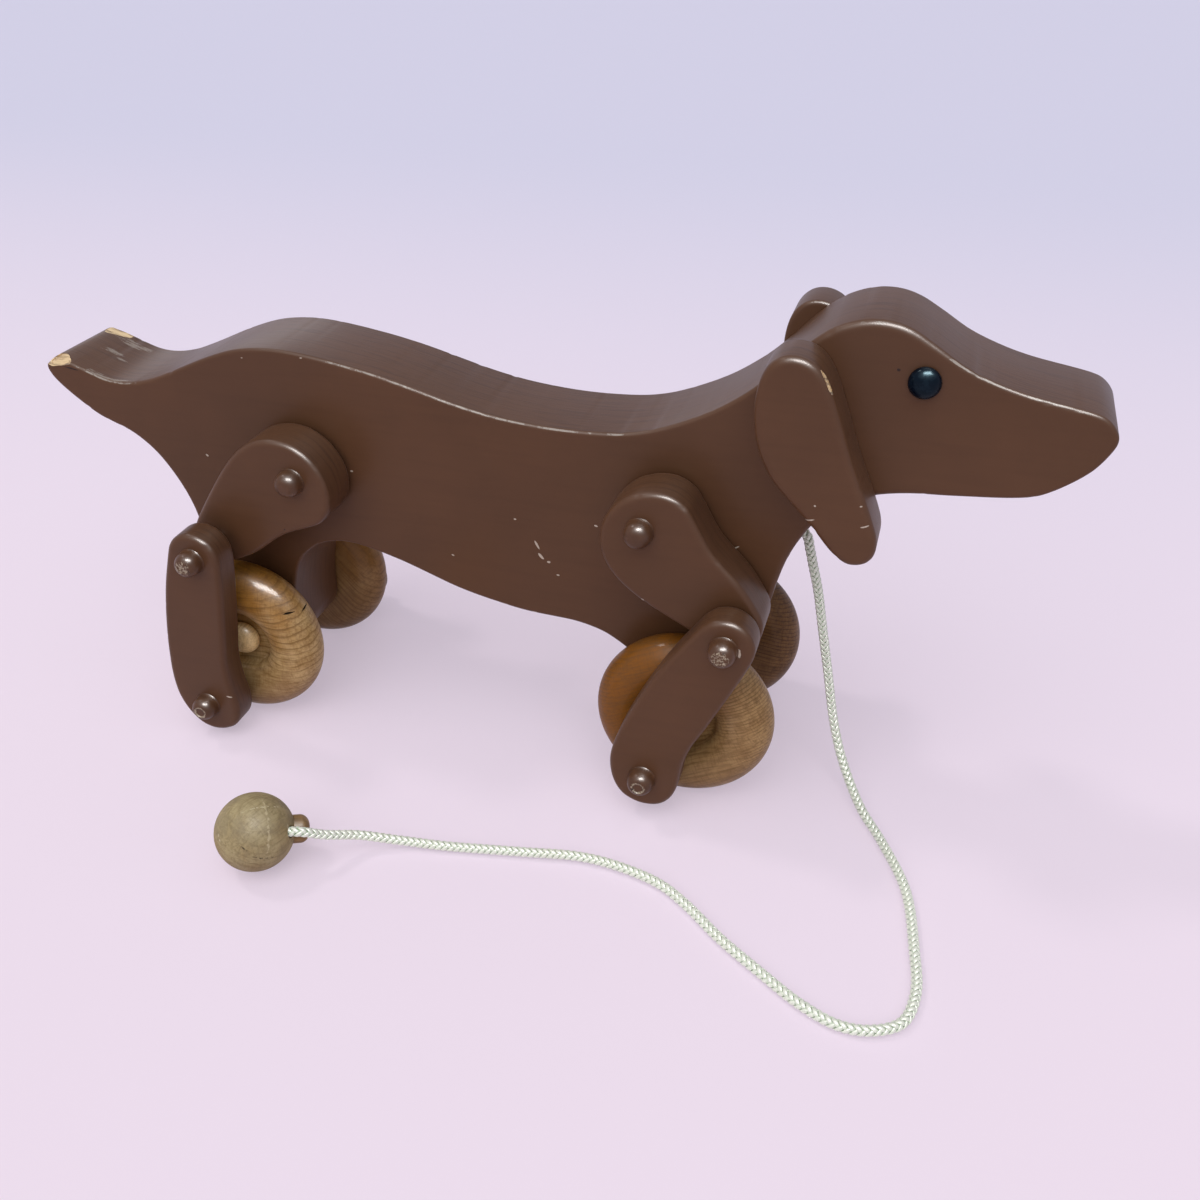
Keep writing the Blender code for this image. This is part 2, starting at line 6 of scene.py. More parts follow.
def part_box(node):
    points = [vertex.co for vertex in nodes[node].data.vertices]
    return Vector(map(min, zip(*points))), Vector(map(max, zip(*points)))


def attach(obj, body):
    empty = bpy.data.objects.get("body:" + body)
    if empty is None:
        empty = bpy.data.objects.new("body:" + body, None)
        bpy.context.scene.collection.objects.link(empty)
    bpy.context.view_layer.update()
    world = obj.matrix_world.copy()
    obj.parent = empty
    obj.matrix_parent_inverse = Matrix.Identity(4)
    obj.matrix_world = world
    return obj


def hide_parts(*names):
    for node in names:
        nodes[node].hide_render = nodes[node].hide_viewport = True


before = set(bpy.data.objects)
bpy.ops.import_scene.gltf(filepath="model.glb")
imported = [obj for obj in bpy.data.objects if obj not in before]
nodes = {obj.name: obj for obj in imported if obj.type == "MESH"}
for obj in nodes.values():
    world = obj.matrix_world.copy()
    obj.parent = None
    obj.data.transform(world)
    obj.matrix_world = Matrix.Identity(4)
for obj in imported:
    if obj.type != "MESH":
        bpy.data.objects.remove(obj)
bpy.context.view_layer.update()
mm = 0.001
sideSign = {"right": -1, "left": 1}
legs = [end + "_" + side for end in ("rear", "front") for side in sideSign]
print("frame loaded:", len(nodes), "nodes")


def legName(leg, part):
    end, side = leg.split("_")
    return end + side.capitalize() + part


def legSign(leg):
    return sideSign[leg.split("_")[1]]


# Helpers for operators

def clearSelection():
    if bpy.context.object and bpy.context.object.mode != "OBJECT":
        bpy.ops.object.mode_set(mode="OBJECT")
    bpy.ops.object.select_all(action="DESELECT")


def makeActive(piece):
    clearSelection()
    piece.select_set(True)
    bpy.context.view_layer.objects.active = piece


def applyPlace(piece):
    makeActive(piece)
    bpy.ops.object.transform_apply(location=True, rotation=True, scale=True)


def applyAll(piece):
    makeActive(piece)
    for modifier in list(piece.modifiers):
        bpy.ops.object.modifier_apply(modifier=modifier.name)


def pickFaces(piece, wanted):
    # select in edit mode the faces whose normal passes the test
    bpy.ops.object.mode_set(mode="EDIT")
    bpy.ops.mesh.select_mode(type="FACE")
    bpy.ops.mesh.select_all(action="DESELECT")
    bpy.ops.object.mode_set(mode="OBJECT")
    for face in piece.data.polygons:
        face.select = wanted(face.normal)
    bpy.ops.object.mode_set(mode="EDIT")


def carve(piece, cutter):
    # cut one piece with another, keeping the cutter's finish on the cut
    cut = piece.modifiers.new("carve", "BOOLEAN")
    cut.operation = "DIFFERENCE"
    cut.solver = "MANIFOLD"
    cut.material_mode = "TRANSFER"
    cut.object = cutter
    applyAll(piece)
    bpy.data.objects.remove(cutter, do_unlink=True)


def drillBit(radius, depth, place, turn, sides=36):
    # a round cutter, sizes in metres
    clearSelection()
    bpy.ops.mesh.primitive_cylinder_add(vertices=sides, radius=radius, depth=depth,
                                        location=place, rotation=turn)
    return bpy.context.object


def drillAlong(piece, start, way, depth, radius):
    # a round hole into a piece from a point along a direction, in millimetres
    middle = (start + way * depth / 2) * mm
    carve(piece, drillBit(radius * mm, depth * mm, middle, way.to_track_quat("Z", "Y").to_euler()))


def sharpenBreaks(piece):
    # a break through the finish keeps a sharp edge
    finishOf = {}
    for face in piece.data.polygons:
        for key in face.edge_keys:
            finishOf.setdefault(key, set()).add(face.material_index)
    for edge in piece.data.edges:
        if len(finishOf.get(edge.key, ())) > 1:
            edge.use_edge_sharp = True


def settle(piece, name, finish, body, node, angle=35):
    # place into the mesh, finish on, and onto its body in the node's stead
    applyPlace(piece)
    bpy.ops.object.shade_smooth_by_angle(angle=math.radians(angle))
    sharpenBreaks(piece)
    piece.name = name
    piece.data.name = name
    if piece.data.materials:
        piece.data.materials[0] = finish
    else:
        piece.data.materials.append(finish)
    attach(piece, body)
    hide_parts(node)


# Camera where the photograph was taken

photoCamera = {
    "place": (0.1479, -0.3946, 0.3235),
    "yaw": -17.15,
    "pitch": 32.52,
    "roll": -0.34,
    "focalPixels": 1200.0,
    "framePixels": 1200.0,
    "sensor": 36.0,
    "clipStart": 0.01,
}


def setCamera(spec):
    yaw, pitch, roll = (math.radians(spec[k]) for k in ("yaw", "pitch", "roll"))
    ahead = Vector((math.sin(yaw) * math.cos(pitch), math.cos(yaw) * math.cos(pitch), -math.sin(pitch)))
    flatRight = Vector((math.cos(yaw), -math.sin(yaw), 0.0))
    flatUp = flatRight.cross(ahead)
    right = math.cos(roll) * flatRight + math.sin(roll) * flatUp
    up = -math.sin(roll) * flatRight + math.cos(roll) * flatUp
    data = bpy.data.cameras.new("photoCamera")
    data.sensor_width = spec["sensor"]
    data.lens = spec["sensor"] * spec["focalPixels"] / spec["framePixels"]
    data.clip_start = spec["clipStart"]
    camera = bpy.data.objects.new("photoCamera", data)
    bpy.context.scene.collection.objects.link(camera)
    turn = Matrix((right, up, -ahead)).transposed().to_4x4()
    camera.matrix_world = Matrix.Translation(spec["place"]) @ turn
    bpy.context.scene.camera = camera


setCamera(photoCamera)
bpy.context.scene.view_settings.view_transform = "Standard"
print("camera set")


# Node helpers for finishes

def setInputs(tree, node, values):
    # link each socket or set its value; colours are given without alpha
    for key, value in values.items():
        socket = node.inputs[key]
        if isinstance(value, bpy.types.NodeSocket):
            tree.links.new(value, socket)
        elif socket.type == "RGBA":
            socket.default_value = (*value, 1.0)
        else:
            socket.default_value = value


def addNode(tree, kind, values=None, **settings):
    node = tree.nodes.new(kind)
    for key, value in settings.items():
        setattr(node, key, value)
    setInputs(tree, node, values or {})
    return node


def newFinish(name):
    finish = bpy.data.materials.new(name)
    finish.use_nodes = True
    tree = finish.node_tree
    coords = addNode(tree, "ShaderNodeTexCoord").outputs["Object"]
    return finish, tree, tree.nodes["Principled BSDF"], coords


def math2(tree, operation, a, b=0.0):
    return addNode(tree, "ShaderNodeMath", {0: a, 1: b}, operation=operation).outputs[0]


def plus(tree, a, b):
    return math2(tree, "ADD", a, b)


def minus(tree, a, b):
    return math2(tree, "SUBTRACT", a, b)


def times(tree, a, b):
    return math2(tree, "MULTIPLY", a, b)


def larger(tree, a, b):
    return math2(tree, "MAXIMUM", a, b)


def swing(tree, pattern, share):
    # a noise pattern about its middle, at a share of its strength
    return times(tree, minus(tree, pattern, 0.5), share)


def ease(tree, value, start, stop, low=0.0, high=1.0):
    # smooth step from low to high between start and stop
    limits = {"Value": value, "From Min": start, "From Max": stop, "To Min": low, "To Max": high}
    return addNode(tree, "ShaderNodeMapRange", limits, interpolation_type="SMOOTHSTEP").outputs["Result"]


def mixColour(tree, share, a, b):
    return addNode(tree, "ShaderNodeMix", {"Factor": share, 6: a, 7: b}, data_type="RGBA").outputs[2]


def xyz(tree, vector):
    return addNode(tree, "ShaderNodeSeparateXYZ", {0: vector}).outputs


def vectorValue(tree, operation, a, b=(0, 0, 0)):
    return addNode(tree, "ShaderNodeVectorMath", {0: a, 1: b}, operation=operation).outputs["Value"]


def placed(tree, coords, middle, turn, half):
    # coordinates that run from -1 to 1 over the half sizes about a middle, sizes in millimetres
    values = {"Vector": coords, "Location": [c * mm for c in middle], "Scale": [c * mm for c in half],
              "Rotation": [math.radians(a) for a in turn]}
    return addNode(tree, "ShaderNodeMapping", values, vector_type="TEXTURE").outputs["Vector"]


def grainNoise(tree, coords, pattern, turn=(0, 0, 0)):
    # pattern is scale, detail and roughness; three scales stretch it along x, y and z
    scale, detail, roughness = pattern
    if isinstance(scale, tuple):
        values = {"Vector": coords, "Rotation": turn, "Scale": scale}
        coords = addNode(tree, "ShaderNodeMapping", values).outputs["Vector"]
        scale = 1.0
    values = {"Vector": coords, "Scale": scale, "Detail": detail, "Roughness": roughness}
    return addNode(tree, "ShaderNodeTexNoise", values).outputs["Fac"]


def setBump(tree, shader, height, bump):
    # bump is strength and distance in millimetres
    values = {"Height": height, "Strength": bump[0], "Distance": bump[1] * mm}
    tree.links.new(addNode(tree, "ShaderNodeBump", values).outputs["Normal"], shader.inputs["Normal"])


# Floor and lights

stageSpec = {
    "floorSize": 14.0,
    "floorNear": (0.86, 0.745, 0.87),
    "floorFar": (0.66, 0.645, 0.81),
    "floorFade": (-0.15, 1.1),      # from the near to the far colour along y
    "floorRoughness": 0.9,
    "floorSpecular": 0.1,
    "plainShare": 0.48,
    "worldColour": (0.96, 0.97, 1.0),
    "worldStrength": 0.50,
    "backdrop": (0.70, 0.68, 0.82),
}
lampSpecs = {
    "windowKey": {"kind": "SUN", "place": (-0.70, 0.14, 1.0), "aim": (0.0, 0.0, 0.0), "angle": 0.14,
                  "power": 0.48, "colour": (1.0, 0.94, 0.90)},
    "wideFront": {"kind": "SUN", "place": (-0.10, -0.75, 1.0), "aim": (0.0, 0.0, 0.0), "angle": 1.2,
                  "power": 1.40, "colour": (1.0, 0.98, 0.95)},
    "glintBox": {"kind": "AREA", "place": (0.30, -0.50, 1.20), "aim": (0.0, 0.0, 0.08), "size": (0.90, 0.44),
                 "power": 100.0, "colour": (1.0, 0.98, 0.96), "glossOnly": True},
    "backWindow": {"kind": "AREA", "place": (-1.10, 1.30, 0.75), "aim": (-0.1, 0.0, 0.12),
                   "size": (0.70, 0.70), "power": 1.8, "colour": (0.97, 0.98, 1.0), "glossOnly": True},
}


def seenDirectly(tree):
    # one for what the camera sees, also in a gloss or through something clear
    seen = addNode(tree, "ShaderNodeLightPath").outputs
    inGloss = larger(tree, seen["Is Glossy Ray"], seen["Is Transmission Ray"])
    return larger(tree, seen["Is Camera Ray"], inGloss)


def mixShaders(tree, share, first, second, output):
    both = addNode(tree, "ShaderNodeMixShader", {0: share, 1: first.outputs[0], 2: second.outputs[0]})
    tree.links.new(both.outputs[0], tree.nodes[output].inputs["Surface"])


def setFloor(spec):
    clearSelection()
    bpy.ops.mesh.primitive_plane_add(size=spec["floorSize"])
    floor = bpy.context.object
    floor.name = "floor"
    finish, tree, shader, coords = newFinish("paleFloor")
    away = ease(tree, xyz(tree, coords)["Y"], *spec["floorFade"])
    colour = mixColour(tree, away, spec["floorNear"], spec["floorFar"])
    setInputs(tree, shader, {"Base Color": colour, "Roughness": spec["floorRoughness"],
                             "Specular IOR Level": spec["floorSpecular"]})
    # the camera sees part of the floor at its plain colour, so that shadows stay light
    plain = addNode(tree, "ShaderNodeEmission", {"Color": colour})
    mixShaders(tree, times(tree, seenDirectly(tree), spec["plainShare"]), shader, plain, "Material Output")
    floor.data.materials.append(finish)


def setWorld(spec):
    world = bpy.data.worlds.new("softLight")
    world.use_nodes = True
    tree = world.node_tree
    back = tree.nodes["Background"]
    setInputs(tree, back, {"Color": spec["worldColour"], "Strength": spec["worldStrength"]})
    # the camera sees a plain pale backdrop past the floor
    plain = addNode(tree, "ShaderNodeBackground", {"Color": spec["backdrop"]})
    mixShaders(tree, seenDirectly(tree), back, plain, "World Output")
    bpy.context.scene.world = world


def setLamp(name, lamp):
    data = bpy.data.lights.new(name, lamp["kind"])
    if lamp["kind"] == "SUN":
        data.angle = lamp["angle"]
    else:
        data.shape = "RECTANGLE"
        data.size, data.size_y = lamp["size"]
    data.energy = lamp["power"]
    data.color = lamp["colour"]
    holder = bpy.data.objects.new(name, data)
    bpy.context.scene.collection.objects.link(holder)
    holder.visible_diffuse = not lamp.get("glossOnly")      # these only put glints on the gloss
    holder.location = lamp["place"]
    holder.rotation_euler = (Vector(lamp["aim"]) - Vector(lamp["place"])).to_track_quat("-Z", "Y").to_euler()


setFloor(stageSpec)
setWorld(stageSpec)
for lampName, lampSpec in lampSpecs.items():
    setLamp(lampName, lampSpec)
print("floor and lamps set")


# Pull cord: eight strands braided over two and under two round a core

cordSpec = {
    "exit": (104.0, 0.0, 105.54),
    "exitWay": (0.80, 0.0, -0.60),
    "bite": 7.0,
    "lead": 3.5,
    "ballCentre": (-70.6, -119.5, 14.5),
    "ballRadius": 14.5,
    "ballWay": (8.0, 8.0),           # heading and rise of the hole in the ball, degrees
    "ballBite": 4.5,
    "length": 0.4836,
    "diameter": 0.004,
    "routeSteps": 16,
    "plait": 2.35,                   # length of one plait along the cord
    "pairs": 4,                      # strands each way round
    "strandPath": 1.25,              # strand centres run at this radius, plus and minus the weave
    "weave": 0.33,
    "strandWidth": 1.65,
    "strandThickness": 0.86,
    "strandSides": 7,
    "stepsPerPlait": 5,
    "coreRadius": 1.0,
    "coreSides": 10,
}
nylonSpec = {
    # painted shade: darker green between the strands and on the core, over the nylon's own green tint
    "hollowShade": (0.26, 0.40, 0.22),    # between the strands
    "crown": (0.77, 0.81, 0.71),
    "crownDepth": (0.45, 0.85),
    "soil": (0.66, 0.66, 0.52),
    "soilPattern": (60.0, 3.0, 0.55),
    "soilShare": (0.48, 0.75, 0.0, 0.22),
    "fibres": (2600.0, 2.0, 0.55),
    "roughness": 0.38,
    "sheen": 0.25,
    "bump": (0.35, 0.2),
}
# the cord's way from the chest to the ball in millimetres, the same points as its CAD tube
cordRoute = [
    (108.4, 0.0, 98.4), (110.2, 0.0, 91.5), (113.1, 0.0, 80.5), (116.7, -0.5, 62.8), (120.7, -2.2, 44.5),
    (125.2, -5.6, 25.0), (129.6, -11.4, 14.2), (135.3, -20.4, 7.2), (141.8, -31.6, 3.6), (150.2, -44.3, 2.3),
    (161.5, -67.6, 2.3), (166.8, -94.9, 2.3), (168.8, -114.0, 2.3), (165.4, -126.8, 2.3),
    (156.0, -132.6, 2.3), (146.0, -133.4, 2.3), (133.2, -128.8, 2.3), (118.3, -119.7, 2.3),
    (102.5, -109.4, 2.3), (87.6, -97.6, 2.3), (76.2, -90.6, 2.3), (60.0, -86.4, 2.3), (44.1, -85.6, 2.3),
    (21.9, -89.6, 2.3), (-6.0, -94.8, 2.3), (-23.4, -98.2, 3.6), (-37.4, -103.4, 7.2), (-46.4, -111.6, 12.4),
]


def splinePoint(p0, p1, p2, p3, t):
    # centripetal curve between p1 and p2
    k1 = (p1 - p0).length ** 0.5
    k2 = k1 + (p2 - p1).length ** 0.5
    k3 = k2 + (p3 - p2).length ** 0.5
    k = k1 + (k2 - k1) * t
    a1 = p0.lerp(p1, k / k1)
    a2 = p1.lerp(p2, (k - k1) / (k2 - k1))
    a3 = p2.lerp(p3, (k - k2) / (k3 - k2))
    b1 = a1.lerp(a2, k / k2)
    b2 = a2.lerp(a3, (k - k1) / (k3 - k1))
    return b1.lerp(b2, (k - k1) / (k2 - k1))


def pointing(heading, rise):
    turn, lift = math.radians(heading), math.radians(rise)
    return Vector((math.cos(lift) * math.cos(turn), math.cos(lift) * math.sin(turn), math.sin(lift)))


def evenly(points, pace):
    # the same line with a point at every pace
    result = [points[0].copy()]
    left = pace
    for a, b in zip(points, points[1:]):
        span = (b - a).length
        run = left
        while run <= span:
            result.append(a.lerp(b, run / span))
            run += pace
        left = run - span
    return result


def cordLine(spec):
    outWay = Vector(spec["exitWay"])
    ballWay = pointing(*spec["ballWay"])
    mouth = Vector(spec["ballCentre"]) + ballWay * spec["ballRadius"]
    start = Vector(spec["exit"])
    route = [start - outWay * spec["bite"], start + outWay * spec["lead"]]
    route += [Vector(p) for p in cordRoute]
    route += [mouth + ballWay * spec["lead"], mouth - ballWay * spec["ballBite"]]
    before = route[0] * 2 - route[1]
    after = route[-1] * 2 - route[-2]
    full = [before] + route + [after]
    steps = spec["routeSteps"]
    line = []
    for i in range(len(route) - 1):
        line += [splinePoint(*full[i:i + 4], step / steps) for step in range(steps)]
    line.append(route[-1])
    return evenly(line, spec["plait"] / spec["stepsPerPlait"])


def transported(line):
    # a frame carried along the line with no twist
    side = None
    frames = []
    for i, point in enumerate(line):
        ahead = (line[min(i + 1, len(line) - 1)] - line[max(i - 1, 0)]).normalized()
        if side is None:
            side = ahead.cross(Vector((0, 1, 0))).normalized()
        side = (side - ahead * side.dot(ahead)).normalized()
        frames.append((point, side, ahead.cross(side)))
    return frames


def tubeRings(rings, verts, faces):
    # skin a list of closed rings and cap both ends
    first = len(verts)
    count = len(rings[0])
    for ring in rings:
        verts += ring
    for r in range(len(rings) - 1):
        for k in range(count):
            a = first + r * count + k
            b = first + r * count + (k + 1) % count
            faces.append((a, b, b + count, a + count))
    faces.append(tuple(first + k for k in reversed(range(count))))
    faces.append(tuple(first + (len(rings) - 1) * count + k for k in range(count)))


def strandRings(frames, way, strand, spec):
    # flat oval rings along one strand as it winds round the cord
    pairs = spec["pairs"]
    turnPerStep = 2 * math.pi / (pairs * spec["stepsPerPlait"])
    lag = math.pi / pairs if way < 0 else 0
    centres = []
    for i, (point, side, over) in enumerate(frames):
        around = way * i * turnPerStep + 2 * math.pi * strand / pairs + lag
        radius = spec["strandPath"] + way * spec["weave"] * math.sin(2 * around)
        outward = math.cos(around) * side + math.sin(around) * over
        centres.append((point + outward * radius, outward))
    rings = []
    for i, (centre, outward) in enumerate(centres):
        ahead = (centres[min(i + 1, len(centres) - 1)][0] - centres[max(i - 1, 0)][0]).normalized()
        across = outward.cross(ahead).normalized()
        rise = ahead.cross(across)
        ring = []
        for k in range(spec["strandSides"]):
            angle = 2 * math.pi * k / spec["strandSides"]
            ring.append((centre + across * math.cos(angle) * spec["strandWidth"] / 2
                         + rise * math.sin(angle) * spec["strandThickness"] / 2) * mm)
        rings.append(ring)
    return rings


def markDepth(mesh, frames, spec):
    # plaitDepth is 1 on the crowns of the plaits and 0 in the core
    depth = mesh.attributes.new("plaitDepth", "FLOAT", "POINT")
    low = spec["coreRadius"] * mm
    high = (spec["strandPath"] + spec["weave"] + spec["strandThickness"] / 2) * mm
    perStrand = len(frames) * spec["strandSides"]
    allStrands = 2 * spec["pairs"] * perStrand
    for i, vert in enumerate(mesh.vertices):
        if i < allStrands:
            ring = i % perStrand // spec["strandSides"]
        else:
            ring = (i - allStrands) // spec["coreSides"]
        away = (vert.co - frames[ring][0] * mm).length
        depth.data[i].value = max(0.0, min(1.0, (away - low) / (high - low)))


def braidedCord(spec):
    frames = transported(cordLine(spec))
    verts, faces = [], []
    for way in (1, -1):
        for strand in range(spec["pairs"]):
            tubeRings(strandRings(frames, way, strand, spec), verts, faces)
    core = []
    angles = [2 * math.pi * k / spec["coreSides"] for k in range(spec["coreSides"])]
    for point, side, over in frames:
        around = [math.cos(a) * side + math.sin(a) * over for a in angles]
        core.append([(point + spec["coreRadius"] * outward) * mm for outward in around])
    tubeRings(core, verts, faces)
    mesh = bpy.data.meshes.new("braidedCord")
    mesh.from_pydata(verts, [], faces)
    markDepth(mesh, frames, spec)
    cord = bpy.data.objects.new("braidedCord", mesh)
    bpy.context.scene.collection.objects.link(cord)
    mesh.shade_smooth()
    return cord, [point * mm for point, side, over in frames]


def nylonFinish(spec):
    finish, tree, shader, coords = newFinish("whiteNylon")
    depth = addNode(tree, "ShaderNodeAttribute", attribute_name="plaitDepth").outputs["Fac"]
    # the hollows between the strands and the core get painted shade, darker green than the crowns
    tint = mixColour(tree, ease(tree, depth, *spec["crownDepth"]), spec["hollowShade"], spec["crown"])
    soil = ease(tree, grainNoise(tree, coords, spec["soilPattern"]), *spec["soilShare"])
    setInputs(tree, shader, {"Base Color": mixColour(tree, soil, tint, spec["soil"]),
                             "Roughness": spec["roughness"], "Sheen Weight": spec["sheen"]})
    setBump(tree, shader, grainNoise(tree, coords, spec["fibres"]), spec["bump"])
    return finish


cord, cordPath = braidedCord(cordSpec)
cord.data.materials.append(nylonFinish(nylonSpec))
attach(cord, "dog")
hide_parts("cord")
print("cord braided:", len(cord.data.polygons), "faces")


# Sawn boards: each outline is read off its CAD board, then sawn, rounded over and drilled again

boardSpec = {
    "outlineSteps": 8,
    "rimSegments": 6,
    "flatInset": 0.8,               # ring inside the rim that keeps the flats flat
    "flatNormal": 0.999,
    "tolerance": 0.02,
    "rimMargin": 0.02,              # share of the rim at either end that stays as it was
    "waveScale": 90.0,
    "wave": 0.4,
    "knockScale": 260.0,
    "knockShift": (5, 9, 2),
    "knockFrom": 0.36,
    "knock": 4.0,
    "drillPast": 0.6,
}
splinterSpec = {
    "subdivisions": 4,
    "stretch": (0.6, 2.6, 2.6),     # long along the grain
    "lumps": 0.30,
    "roughness": 0.10,
    "roughScale": 3.0,
}


def onLevel(a, b, level):
    return max(abs(a.y - level), abs(b.y - level)) < boardSpec["tolerance"] * mm


def tracedOutline(node, rim, step):
    # walk the CAD edges where the rim's round ends, then smooth them into an even line
    low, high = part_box(node)
    level = high.y - rim * mm
    points = nodes[node].data.vertices
    beside = {}
    for edge in nodes[node].data.edges:
        a, b = (points[i].co for i in edge.vertices)
        if onLevel(a, b, level):
            keyA, keyB = ((round(p.x / mm, 1), round(p.z / mm, 1)) for p in (a, b))
            if keyA != keyB:
                beside.setdefault(keyA, set()).add(keyB)
                beside.setdefault(keyB, set()).add(keyA)
    first = min(beside)
    loop = [first]
    last, here = None, first
    while True:
        last, here = here, next(key for key in sorted(beside[here]) if key != last)
        if here == first:
            break
        loop.append(here)
    corners = [Vector((x, 0.0, z)) for x, z in loop]
    count = len(corners)
    steps = boardSpec["outlineSteps"]
    fine = []
    for i in range(count):
        around = [corners[(i + j - 1) % count] for j in range(4)]
        fine += [splinePoint(*around, part / steps) for part in range(steps)]
    fine.append(fine[0])
    length = sum((b - a).length for a, b in zip(fine, fine[1:]))
    pieces = round(length / step)
    return evenly(fine, length / pieces)[:pieces]


def sawnBoard(node, spec):
    outline = tracedOutline(node, spec["cadRim"], spec["step"])
    low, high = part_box(node)
    inner, outer = sorted((low.y, high.y), key=abs)
    if "innerReach" in spec:
        inner -= math.copysign(spec["innerReach"] * mm, inner)
    clearSelection()
    bpy.ops.mesh.primitive_circle_add(vertices=len(outline), radius=mm)
    board = bpy.context.object
    for vert, point in zip(board.data.vertices, outline):
        vert.co = (point.x * mm, inner, point.z * mm)
    bpy.ops.object.mode_set(mode="EDIT")
    bpy.ops.mesh.select_all(action="SELECT")
    bpy.ops.mesh.edge_face_add()
    bpy.ops.mesh.extrude_region_move(TRANSFORM_OT_translate={"value": (0, outer - inner, 0)})
    bpy.ops.mesh.select_all(action="SELECT")
    bpy.ops.mesh.normals_make_consistent(inside=False)
    bpy.ops.object.mode_set(mode="OBJECT")
    roundRims(board, inner, outer, spec)
    pickFaces(board, lambda normal: abs(normal.y) > boardSpec["flatNormal"])
    bpy.ops.mesh.inset(thickness=boardSpec["flatInset"] * mm)
    bpy.ops.object.mode_set(mode="OBJECT")
    nickRims(board, min(inner, outer), max(inner, outer), spec)
    return board


def roundRims(board, inner, outer, spec):
    # rims rounded over by weight: less on the inner side, and tighter where the spec says
    shares = spec.get("rimShares", [(0, 1.0)])
    innerShare = spec.get("innerRim", spec["rim"]) / spec["rim"]
    weights = board.data.attributes.new("bevel_weight_edge", "FLOAT", "EDGE")
    points = board.data.vertices
    for edge in board.data.edges:
        a, b = (points[i].co for i in edge.vertices)
        full = shares[0][1]
        for (start, before), (stop, after) in zip(shares, shares[1:]):
            part = min(1.0, max(0.0, ((a.x + b.x) / 2 / mm - start) / (stop - start)))
            full += (after - before) * part * part * (3 - 2 * part)
        for level, share in ((outer, 1.0), (inner, innerShare)):
            if onLevel(a, b, level):
                weights.data[edge.index].value = full * share
    rounding = board.modifiers.new("rims", "BEVEL")
    rounding.limit_method = "WEIGHT"
    rounding.width = spec["rim"] * mm
    rounding.segments = boardSpec["rimSegments"]
    rounding.use_clamp_overlap = False
    applyAll(board)


def nickRims(board, lowY, highY, spec):
    # knocks and soft waves along the rounded rims
    rim = spec["rim"] * mm
    margin = boardSpec["rimMargin"]
    shift = Vector(boardSpec["knockShift"])
    for vert in board.data.vertices:
        inside = min(vert.co.y - lowY, highY - vert.co.y)
        if margin * rim < inside < (1 - margin) * rim:
            wave = noise.noise(vert.co * boardSpec["waveScale"])
            knock = max(0.0, noise.noise(vert.co * boardSpec["knockScale"] + shift) - boardSpec["knockFrom"])
            depth = boardSpec["wave"] * wave + boardSpec["knock"] * knock
            vert.co -= vert.normal * spec["nick"] * mm * depth


def pegHoles(board, pegNodes, radius):
    # drill a board for the pegs that pass through it or end in it
    bits = []
    for node in pegNodes:
        low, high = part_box(node)
        depth = high.y - low.y + boardSpec["drillPast"] * mm
        bits.append(drillBit(radius * mm, depth, (low + high) / 2, (math.pi / 2, 0, 0)))
    makeActive(bits[0])
    for bit in bits:
        bit.select_set(True)
    if len(bits) > 1:
        bpy.ops.object.join()
    applyPlace(bits[0])
    carve(board, bits[0])


def splinter(place, size, turn, finish, seed):
    # a rough lump that breaks a splinter out of a rim
    spec = splinterSpec
    clearSelection()
    bpy.ops.mesh.primitive_ico_sphere_add(subdivisions=spec["subdivisions"], radius=1.0)
    lump = bpy.context.object
    lump.data.materials.append(finish)
    for vert in lump.data.vertices:
        grain = Vector([c * s for c, s in zip(vert.co, spec["stretch"])]) + Vector((seed, 0, 0))
        rough = spec["roughness"] * noise.noise(grain * spec["roughScale"])
        vert.co *= 1.0 + spec["lumps"] * noise.noise(grain) + rough
    lump.scale = Vector(size) * mm
    lump.rotation_euler = [math.radians(a) for a in turn]
    lump.location = Vector(place) * mm
    applyPlace(lump)
    return lump


# Turned pieces: half profiles spun about the Y axis

turnSpec = {
    "weld": 0.004,                  # points closer than this become one
    "shankReach": 20.0,             # shanks are turned this long, and drawn out or in to their CAD length
    "shankChamfer": 0.6,
}


def spun(profile, steps):
    # profile is (radius, height) in millimetres, from the outer end round to the inner end
    clearSelection()
    bpy.ops.mesh.primitive_plane_add(size=mm)
    piece = bpy.context.object
    bpy.ops.object.mode_set(mode="EDIT")
    bpy.ops.mesh.select_mode(type="VERT")
    bpy.ops.mesh.select_all(action="SELECT")
    bpy.ops.mesh.merge(type="CENTER")
    bpy.ops.transform.translate(value=(profile[0][0] * mm, profile[0][1] * mm, 0))
    for (r0, y0), (r1, y1) in zip(profile, profile[1:]):
        onward = ((r1 - r0) * mm, (y1 - y0) * mm, 0)
        bpy.ops.mesh.extrude_region_move(TRANSFORM_OT_translate={"value": onward})
    bpy.ops.mesh.select_all(action="SELECT")
    bpy.ops.mesh.spin(steps=steps, angle=2 * math.pi, center=(0, 0, 0), axis=(0, 1, 0))
    bpy.ops.mesh.select_all(action="SELECT")
    bpy.ops.mesh.remove_doubles(threshold=turnSpec["weld"] * mm)
    bpy.ops.mesh.normals_make_consistent(inside=False)
    bpy.ops.object.mode_set(mode="OBJECT")
    return piece


def arcPoints(centre, radii, start, stop, count):
    # points on an arc of (radius, height), angles in degrees from +radius to +height
    angles = [math.radians(start + (stop - start) * i / (count - 1)) for i in range(count)]
    return [(centre[0] + radii[0] * math.cos(a), centre[1] + radii[1] * math.sin(a)) for a in angles]


def shankEnd(radius):
    end, chamfer = -turnSpec["shankReach"], turnSpec["shankChamfer"]
    return [(radius, end + chamfer), (radius - chamfer, end), (0.0, end)]


def copied(master):
    clearSelection()
    twin = master.copy()
    twin.data = master.data.copy()
    bpy.context.scene.collection.objects.link(twin)
    return twin


